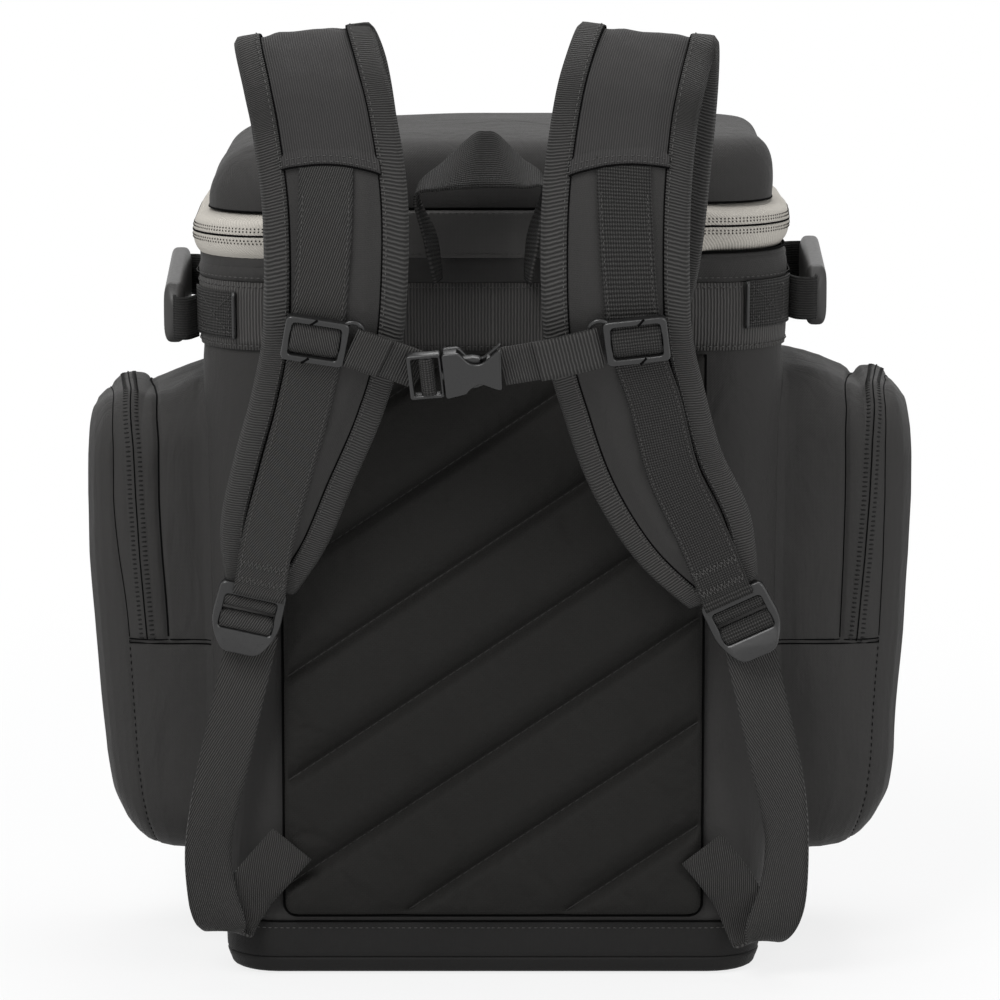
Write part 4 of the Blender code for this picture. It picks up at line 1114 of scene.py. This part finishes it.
# %% Straps
for word in STRAPS:
    bm = cloth_mesh((56, 220), strap_place(word), (0.16, STRAP_LONG))
    made = piece(bm, f"strap_{word}_pad", "nylon", stands_for=(f"shoulder_pad_{word}",))
    made.data.materials.append(FINISHES["strap_ribs"][0])
    layer = made.data.uv_layers["cloth"].data
    for face in made.data.polygons:
        heights = [layer[i].uv.y for i in face.loop_indices]
        face.material_index = int(sum(heights) / len(heights) < SEAM * STRAP_LONG)
    for side, hand in ((-1, "a"), (1, "b")):
        cloth(f"strap_{word}_binding_{hand}", (14, 220), binding_place(word, side), "binding",
              (0.03, STRAP_LONG), None, thick=0.0008)
        line = []
        for n in range(201):
            middle, half, _, across, out, _ = strap(word, n / 200)
            edge = BOUND - 0.0018
            line.append((middle + across * side * (half - edge) + out * (strap_height(edge) + 0.0011), out))
        sew(line, size=(0.0026, 0.0008, 0.0007))
        # Painted shade: a near-black line in the crease beside each binding.
        crease = []
        for n in range(161):
            middle, half, _, across, out, _ = strap(word, 0.3 + 0.695 * n / 160)
            inner = half - BOUND - 0.0004
            crease.append(middle + across * side * inner + out * (strap_height(BOUND) + 0.0002))
        pipe(crease, 0.0005, look="seam")

    def fold_place(s, t, word=word):
        q = 2 * s - 1
        slant = 0.0066 * (1 + q if word == "left" else 1 - q)
        at = SEAM - 0.03 + 0.03 * t - 0.006 * (1 - q * q) + slant
        middle, half, _, across, out, _ = strap(word, at)
        a = q * (half - BOUND + 0.001)
        return middle + across * a + out * (strap_height(half - abs(a)) - 0.0002 + 0.0026 * ease(0.5, 0.9, t))

    cloth(f"strap_{word}_fold", (30, 14), fold_place, "strap_ribs", (0.055, 0.018), None, TO_WEARER,
          thick=0.001)
    for t in (0.78, 0.93):
        sew([(fold_place(n / 30, t) + Vector((0, -0.0004, 0)), TO_WEARER) for n in range(31)])
    # Painted shade: a near-black line under the fold's edge.
    pipe([fold_place(n / 30, 1.0) + Vector((0, 0.0004, -0.0006)) for n in range(31)], 0.0006, look="seam")


# %% [markdown]
# ## Webbing
# Webbing is a flat woven band, and every band here is one ribbon: a line to follow, the way across
# and a width. The strap's band runs on top of the pad to the buckle. The lower band leaves behind
# the buckle, drops beside the bag, turns under at the base and comes back to where it is sewn on.

# %% Ribbons
def ribbon(name, line, half, length, look="webbing", cells=(8, 120), **rest):
    """A band along line(t), which gives a place and the way across."""
    def place(s, t):
        middle, across = line(t)
        return middle - across * (2 * s - 1) * half
    return cloth(name, cells, place, look, (2 * half, length), None, TO_WEARER, thick=WEB_THICK, offset=0,
                 **rest)


def strap_band(word, rise):
    def line(t):
        _, _, ahead, across, out, middle = strap(word, min(0.6 + 0.4 * t, 1.0))
        return middle + out * rise + ahead * max(0.0, t - 0.985) * 0.3, across
    return line


LOWER = {
    "left": (
        (-0.1392, 0.022, 0.212, 0, -1, 0), (-0.149, 0.023, 0.170, 0, -1, 0),
        (-0.156, 0.0225, 0.139, 0.1, -1, 0), (-0.163, 0.021, 0.108, 0.35, -1, 0),
        (-0.1672, 0.018, 0.080, 0.5, -1, 0), (-0.1650, 0.016, 0.052, 0.3, -1, 0),
        (-0.1605, 0.015, 0.038, -0.2, -1, -0.1), (-0.1565, 0.0115, 0.0305, -0.2, -0.3, -1),
        (-0.1515, 0.0075, 0.0395, -0.3, 1, -0.3), (-0.1425, 0.0070, 0.0535, -0.1, 1, 0),
        (-0.1305, 0.0110, 0.0685, 0, 1, 0), (-0.1180, 0.0157, 0.0835, 0, 1, 0)),
    "right": (
        (0.1475, 0.022, 0.212, 0, -1, 0), (0.157, 0.023, 0.170, 0, -1, 0),
        (0.164, 0.0225, 0.139, -0.1, -1, 0), (0.170, 0.021, 0.108, -0.45, -1, 0),
        (0.1725, 0.018, 0.080, -0.7, -1, 0), (0.1700, 0.016, 0.052, -0.4, -1, 0),
        (0.1635, 0.015, 0.034, 0.2, -1, -0.1), (0.157, 0.0115, 0.0245, 0.2, -0.3, -1),
        (0.1510, 0.0075, 0.034, 0.3, 1, -0.3), (0.1440, 0.0070, 0.050, 0.1, 1, 0),
        (0.134, 0.0110, 0.0655, 0, 1, 0), (0.1225, 0.0157, 0.0805, 0, 1, 0)),
}


def lower_band(word):
    def line(t):
        points = LOWER[word]
        x, away, z, *face = along(points, t)
        a, b = along(points, t - 0.02), along(points, t + 0.02)
        ahead = Vector((b[0] - a[0], a[1] - b[1], b[2] - a[2])).normalized()
        return Vector((x, -DEPTH - away, z)), ahead.cross(Vector(face)).normalized()
    return line


for word, look, low_look in (("left", "twill", "twill_back"), ("right", "webbing", "twill")):
    ribbon(f"strap_{word}_web", strap_band(word, 0.0081), 0.015, 0.25, look,
           stands_for=(f"strap_webbing_{word}",))
    ribbon(f"lower_{word}_web", lower_band(word), 0.0146, 0.27, low_look, (8, 160),
           stands_for=(f"lower_webbing_{word}",))
    for t in (0.90, 0.955):
        middle, across = strap_band(word, 0.0091)(t)
        ahead = strap(word, 0.6 + 0.4 * t)[2]
        zigzag = [middle + across * 0.0135 * (n / 12 - 1) + ahead * (0.0018 if n % 2 else -0.0018)
                  for n in range(25)]
        sew([(p, TO_WEARER) for p in zigzag], pitch=0.0022)
    for edge in (-0.0128, 0.0128):
        line = [strap_band(word, 0.0089)(n / 60) for n in range(4, 58)]
        sew([(p + a * edge, TO_WEARER) for p, a in line])

# %% [markdown]
# ## Haul loop
# The loop for lifting the bag is a broad band that leans out from the back, with a fold at its peak.
# Its two edges run along different lines, so it is laid out between a back line and a front line.

# %% Haul loop, as x, distance behind the back and height
LOOP_BACK = (
    (-0.0300, 0.0045, 0.4165), (-0.0330, 0.007, 0.442), (-0.0432, 0.013, 0.4690), (-0.0270, 0.0185, 0.4862),
    (-0.0108, 0.0235, 0.5016), (-0.0042, 0.0250, 0.5034), (0.0024, 0.0235, 0.5016),
    (0.0158, 0.0185, 0.4878), (0.0290, 0.013, 0.4740), (0.0205, 0.007, 0.442), (0.0188, 0.0045, 0.4165))
LOOP_FRONT = (
    (-0.0328, 0.0295, 0.4165), (-0.0395, 0.037, 0.445), (-0.0440, 0.045, 0.4685), (-0.0300, 0.0500, 0.4730),
    (-0.0150, 0.0515, 0.4742), (-0.0042, 0.0518, 0.4747), (0.0070, 0.0515, 0.4747),
    (0.0180, 0.0500, 0.4742), (0.0290, 0.045, 0.4725), (0.0265, 0.037, 0.445), (0.0214, 0.0295, 0.4165))


def loop_place(s, t):
    a, b = along(LOOP_BACK, t), along(LOOP_FRONT, t)
    x, away, z = [p + (q - p) * s for p, q in zip(a, b)]
    return Vector((x, -DEPTH - away, z))


cloth("haul_loop_web", (12, 120), loop_place, "webbing", (0.036, 0.2), None, TO_WEARER, body="haul_loop",
      thick=0.0019, offset=0, stands_for=("haul_loop",))

# %% [markdown]
# ## Moulded buckles
# Buckles, sliders and locks are injection mouldings: flat outlines with soft edges and slots for
# the webbing. A filled curve with a rounded bevel gives just that. It is drawn in millimetres,
# because a fill is exact only to a fixed distance, then made a mesh and put in its place.

# %% Mouldings
def softened(corners, radius, steps=5):
    """An outline with its corners rounded."""
    made = []
    for i, corner in enumerate(corners):
        p, a, b = Vector(corner), Vector(corners[i - 1]), Vector(corners[(i + 1) % len(corners)])
        start = p + (a - p).normalized() * min(radius, 0.45 * (a - p).length)
        end = p + (b - p).normalized() * min(radius, 0.45 * (b - p).length)
        for k in range(steps + 1):
            f = k / steps
            made.append(start * (1 - f) ** 2 + p * 2 * f * (1 - f) + end * f * f)
    return made


def moulding(name, outlines, thick, turn, body, bevel, stands_for=(), bow=None):
    """A flat moulding: the first outline is its edge and the rest are holes; bow moves its points."""
    curve = bpy.data.curves.new(name, "CURVE")
    curve.dimensions, curve.fill_mode = "2D", "BOTH"
    curve.extrude = 1000 * (thick / 2 - bevel)
    curve.bevel_depth, curve.bevel_resolution, curve.offset = 1000 * bevel, 3, -1000 * bevel
    for outline in outlines:
        line = curve.splines.new("POLY")
        line.points.add(len(outline) - 1)
        for point, (x, y) in zip(line.points, outline):
            point.co = (1000 * x, 1000 * y, 0, 1)
        line.use_cyclic_u = True
    helper = bpy.data.objects.new(name, curve)
    bpy.context.scene.collection.objects.link(helper)
    mesh = bpy.data.meshes.new_from_object(helper)
    bpy.data.objects.remove(helper)
    bm = bmesh.new()
    bm.from_mesh(mesh)
    bmesh.ops.remove_doubles(bm, verts=bm.verts, dist=0.01)
    bmesh.ops.scale(bm, vec=(0.001, 0.001, 0.001), verts=bm.verts)
    bmesh.ops.recalc_face_normals(bm, faces=bm.faces)
    if bow:
        for vert in bm.verts:
            vert.co = bow(vert.co)
    bmesh.ops.transform(bm, matrix=turn, verts=bm.verts)
    bm.loops.layers.uv.new("cloth")
    return piece(bm, name, "moulded", body, stands_for=stands_for, sharp=35)


def seat(place, ahead, across):
    """A place whose X runs ahead and whose Y runs across."""
    x = Vector(ahead).normalized()
    z = x.cross(Vector(across)).normalized()
    turn = Matrix((x, z.cross(x), z)).transposed().to_4x4()
    turn.translation = place
    return turn


def box(x0, y0, x1, y1):
    return [(x0, y0), (x1, y0), (x1, y1), (x0, y1)]


# %% Ladder-locks
LOCKS = {"left": seat((-0.13543, -0.13985, 0.23709), (-0.2369, 0.1643, -0.9575), (0.9711, 0.0689, -0.2284)),
         "right": seat((0.13636, -0.14031, 0.23433), (0.4452, 0.1093, -0.8888), (0.8939, -0.1134, 0.4338))}


def lock_bow(p):
    """The lower tongue bends up towards its tip, as a lever for the thumb."""
    return Vector((p.x, p.y, p.z + 0.0055 * ease(0.025, 0.040, p.x)))


OVER = {"upper": ((0.0074, -0.0034), (0.0078, 0.0004), (0.0098, 0.0018), (0.0126, 0.0014),
                  (0.0142, -0.0008), (0.0142, -0.0044)),
        "lower": ((0.0184, -0.0044), (0.0182, 0.0002), (0.0200, 0.0028), (0.0240, 0.0030),
                  (0.0262, 0.0014), (0.0266, -0.0020))}
NUDGE = {"left": (-0.0022, 0.0, 0.0050), "right": (0.0006, 0.0, 0.0036)}
for word, turn in LOCKS.items():
    turn = Matrix.Translation(NUDGE[word]) @ turn @ Matrix.Scale(1.06, 4)
    h = 0.0185
    edge = softened([(0, -h), (0.022, -h - 0.0006), (0.030, -0.0165), (0.0385, -0.0100), (0.0385, 0.0100),
                     (0.030, 0.0165), (0.022, h + 0.0006), (0, h)], 0.0045)
    window = softened(box(0.0075, -h + 0.0040, 0.0268, h - 0.0040), 0.0022)
    moulding(f"ladder_lock_{word}_moulding", [edge, window], 0.006, turn, f"ladder_lock_{word}",
             bow=lock_bow, bevel=0.0014, stands_for=(f"ladder_lock_{word}",))
    for name, route in OVER.items():
        def lock_line(t, route=route, turn=turn):
            x, z = along(route, t)
            return turn @ Vector((x, 0, z)), (turn.to_3x3() @ Vector((0, 1, 0)))

        ribbon(f"ladder_lock_{word}_web_{name}", lock_line, 0.0142, 0.018,
               "twill" if word == "left" else "webbing", (8, 40), body=f"ladder_lock_{word}")

# %% Sternum sliders
SLIDE_UP = Vector((0, -0.3496, 0.9369))
SLIDERS = {"left": seat((-0.09806, -0.2198, 0.39559), (1, 0, 0), SLIDE_UP),
           "right": seat((0.0793, -0.2198, 0.39559), (-1, 0, 0), -SLIDE_UP)}
BULGE = ((-0.0112, -0.0040), (-0.0085, -0.0006), (-0.003, 0.0024), (0.003, 0.0024), (0.0085, -0.0002),
         (0.0112, -0.0036))
for word, turn in SLIDERS.items():
    left = word == "left"
    turn = turn @ Matrix.Rotation(math.radians(-10 if left else 7), 4, "Z")
    edge = softened(box(-0.0188, -0.0140, 0.0172, 0.0140), 0.0040)
    window = softened(box(-0.0150, -0.0102, 0.0128, 0.0102), 0.0025)
    moulding(f"sternum_slider_{word}_moulding", [edge, window], 0.0056, turn, "sternum", bevel=0.0014,
             stands_for=(f"sternum_slider_{word}",))

    def bulge_line(t, turn=turn):
        y, z = along(BULGE, t)
        return turn @ Vector((-0.0011, y, z)), turn.to_3x3() @ Vector((1, 0, 0))

    ribbon(f"sternum_slider_{word}_web", bulge_line, 0.0136, 0.026, "twill" if left else "webbing", (8, 24),
           body="sternum")
    # Painted shade: short near-black lines where the bars have slits.
    for sign in (-1, 1):
        slit = [Vector((-0.004 + sign * 0.0012 * (n - 1), sign * (0.0104 + 0.0036 * n / 3), 0.0027))
                for n in range(4)]
        pipe([turn @ p for p in slit], 0.0007, "sternum", "seam")
    up = 1 if left else -1
    eye = [Vector((0.0188 + 0.0056 * math.cos(a), up * (0.0098 + 0.0052 * math.sin(a)), 0.0))
           for a in [-0.4 + 0.3 * n for n in range(12)]]
    pipe([turn @ p for p in eye], 0.0014, "sternum", "moulded", "slider_eye")

# %% Side-release buckle
BUCKLE = seat((-0.0273, -0.2171, 0.37661), (0.9954, -0.0335, 0.0898), (-0.0958, -0.348, 0.9326))
edge = softened([(0.0, -0.0142), (0.0121, -0.0119), (0.0132, -0.0097), (0.0196, -0.0060),
                 (0.0295, -0.0111), (0.0318, -0.0113), (0.0334, 0.0150), (0.0226, 0.0066),
                 (0.0183, 0.0058), (0.0147, 0.0075), (0.0097, 0.0143), (0.0, 0.0144)], 0.0022)
for name, shift in (("front", 0.0037), ("rear", -0.0037)):
    moulding(f"buckle_female_{name}", [edge], 0.0026, BUCKLE @ Matrix.Translation((0, 0, shift)), "sternum",
             bevel=0.0011, stands_for=("buckle_female",) if name == "front" else ())
for name, low, high in (("upper", 0.0108, 0.0136), ("lower", -0.0136, -0.0108)):
    rail = softened(box(0.0006, low, 0.0085, high), 0.0008)
    moulding(f"buckle_female_rail_{name}", [rail], 0.0062, BUCKLE, "sternum", bevel=0.0006)
heel = softened(box(0.0245, -0.0085, 0.0272, 0.0085), 0.0008)
moulding("buckle_female_heel", [heel], 0.0062, BUCKLE, "sternum", bevel=0.0006)
base = softened([(-0.020, -0.0140), (-0.0006, -0.0140), (-0.0006, -0.0022), (0.017, -0.0022), (0.017, 0.0022),
                 (-0.0006, 0.0022), (-0.0006, 0.0140), (-0.020, 0.0140)], 0.0020)
slots = [softened(box(x0, -0.0116, x1, 0.0116), 0.001) for x0, x1 in ((-0.0174, -0.0122), (-0.0062, -0.0024))]
moulding("buckle_male_moulding", [base, *slots], 0.0060, BUCKLE, "buckle_male", bevel=0.0013,
         stands_for=("buckle_male",))
BAR = ((-0.0124, -0.0040), (-0.0126, 0.0008), (-0.0108, 0.0034), (-0.0076, 0.0034), (-0.0058, 0.0008),
       (-0.0060, -0.0040))


def bar_line(t):
    x, z = along(BAR, t)
    return BUCKLE @ Vector((x, 0, z)), BUCKLE.to_3x3() @ Vector((0, 1, 0))


ribbon("buckle_male_web", bar_line, 0.0112, 0.018, "webbing", (8, 40), body="buckle_male")
for word, sign in (("upper", 1), ("lower", -1)):
    arm = [(0.0, 0.0055), (0.014, 0.0048), (0.021, 0.0052), (0.0215, 0.0085), (0.017, 0.0098),
           (0.009, 0.0095), (0.0, 0.0095)]
    outline = softened([(x, sign * y) for x, y in arm], 0.001)
    moulding(f"buckle_prong_{word}_moulding", [outline], 0.0048, BUCKLE, f"buckle_prong_{word}", bevel=0.0009,
             stands_for=(f"buckle_prong_{word}",))

# %% [markdown]
# ## Sternum webbing
# The chest strap is a short band from each slider to the buckle, with its hem folded back over it.
# The left band goes slack when the buckle opens. Real webbing bows then, but a bow would need its
# own shape for every pose. Here the left band and its fold only get meshes of their own.

# %% Sternum webbing
OUT = Vector((0, -0.9369, -0.3496))
LIFT = 0.0047
RELEASE = 0.025
for word, side, stops in (("left", 1, (-0.022, -0.012)), ("right", -1, (0.043, 0.0325))):
    start = SLIDERS[word].translation + Vector((side * 0.0190, 0, -0.0030))
    end = BUCKLE @ Vector((stops[1], 0, 0)) - OUT * (LIFT if word == "left" else LIFT * 0.6)
    across = OUT.cross((end - start) * side).normalized() * side

    def chest_line(t, start=start, end=end, across=across, bow=0.002 if word == "right" else -0.0004):
        return start.lerp(end, t) + OUT * bow * math.sin(math.pi * t), across

    length = (end - start).length
    web = ribbon(f"sternum_{word}_web", chest_line, 0.0118, length, "cross_ribs", (8, 60), body="sternum",
                 stands_for=(f"sternum_webbing_{word}",))

    def fold_line(t, line=chest_line, far=0.62 if word == "right" else 0.45):
        middle, across = line(0.02 + far * t)
        return middle + OUT * (0.0019 - 0.0004 * t), across

    fold = ribbon(f"sternum_{word}_fold", fold_line, 0.0122, 0.5 * length, "cross_ribs", (8, 30),
                  body="sternum")
    print(word, "sternum webbing:", round(length, 4))
    if word == "left":
        for slack, keep in ((web, 1 - RELEASE / length), (fold, 0.3)):
            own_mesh(slack)

# %% [markdown]
# ## Zip sliders
# The sliders and their pulls are small rigid castings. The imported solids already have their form, so
# they stay as they are and only get a finish.

# %% Zip sliders
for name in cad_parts:
    if name.startswith(("lid_slider", "pocket_slider")):
        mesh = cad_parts[name].data
        mesh.materials.clear()
        mesh.materials.append(FINISHES["grip" if name.endswith("pull") else "moulded"][0])

# %% [markdown]
# ## Stitches, cords and lines of painted shade
# The rows noted on the way are made here, one piece for each body and finish. Each stitch is a
# small rounded solid of twenty faces, because there are thousands of them.

# %% Rows
make_rows()
make_pipes()

# %% [markdown]
# ## Stage
# The floor is pale and plain and the light is soft, from a wide lamp above the camera and two
# weaker ones. The camera sees a white background, while the floor still takes the bag's shadow.

# %% Floor
def seen_rays(tree):
    """1 for the rays that should meet a white background: from the camera, from gloss or through glass."""
    ray = node(tree, "LightPath").outputs
    direct = calc(tree, "MAXIMUM", ray["Is Camera Ray"], ray["Is Glossy Ray"])
    return calc(tree, "MAXIMUM", direct, ray["Is Transmission Ray"])


bm = bmesh.new()
bmesh.ops.create_grid(bm, x_segments=1, y_segments=1, size=6)
mesh = bpy.data.meshes.new("floor")
bm.to_mesh(mesh)
bm.free()
floor = bpy.data.objects.new("floor", mesh)
bpy.context.scene.collection.objects.link(floor)
paper = bpy.data.materials.new("floor")
paper.use_nodes = True
tree = paper.node_tree
shader = tree.nodes["Principled BSDF"]
shader.inputs["Base Color"].default_value = (0.8, 0.8, 0.8, 1)
shader.inputs["Roughness"].default_value = 0.9
white = node(tree, "Emission", {"Color": (1, 1, 1, 1), "Strength": 1.0})
place = node(tree, "TexCoord").outputs["Object"]
away = node(tree, "VectorMath", {0: place}, operation="LENGTH").outputs["Value"]
pale = node(tree, "MapRange", {0: away, 1: 0.3, 2: 1.2, 3: 0.8, 4: 1.0}, interpolation_type="SMOOTHSTEP")
share = calc(tree, "MULTIPLY", seen_rays(tree), pale.outputs[0])
mixed = node(tree, "MixShader", {0: share, 1: shader.outputs[0], 2: white.outputs[0]})
tree.links.new(mixed.outputs[0], tree.nodes["Material Output"].inputs["Surface"])
mesh.materials.append(paper)

# %% Light
world = bpy.data.worlds.new("studio")
world.use_nodes = True
bpy.context.scene.world = world
tree = world.node_tree
soft = node(tree, "Background", {"Color": (0.95, 0.97, 1.0, 1), "Strength": 0.4})
white = node(tree, "Background", {"Color": (1, 1, 1, 1), "Strength": 1.0})
mixed = node(tree, "MixShader", {0: seen_rays(tree), 1: soft.outputs[0], 2: white.outputs[0]})
tree.links.new(mixed.outputs[0], tree.nodes["World Output"].inputs["Surface"])
for name, place, size, watts in (("key", (-1.2, -2.0, 2.4), 1.6, 62), ("fill", (2.0, -1.8, 1.2), 1.6, 20),
                                 ("top", (0.2, 0.5, 2.4), 1.4, 30)):
    lamp = bpy.data.lights.new(name, "AREA")
    lamp.energy, lamp.size = watts, size
    made = bpy.data.objects.new(name, lamp)
    made.location = place
    made.rotation_mode = "QUATERNION"
    made.rotation_quaternion = (Vector((0, 0, 0.28)) - Vector(place)).to_track_quat("-Z", "Y")
    bpy.context.scene.collection.objects.link(made)
    print("lamp", name, "at", place)
bpy.context.scene.view_settings.view_transform = "Standard"
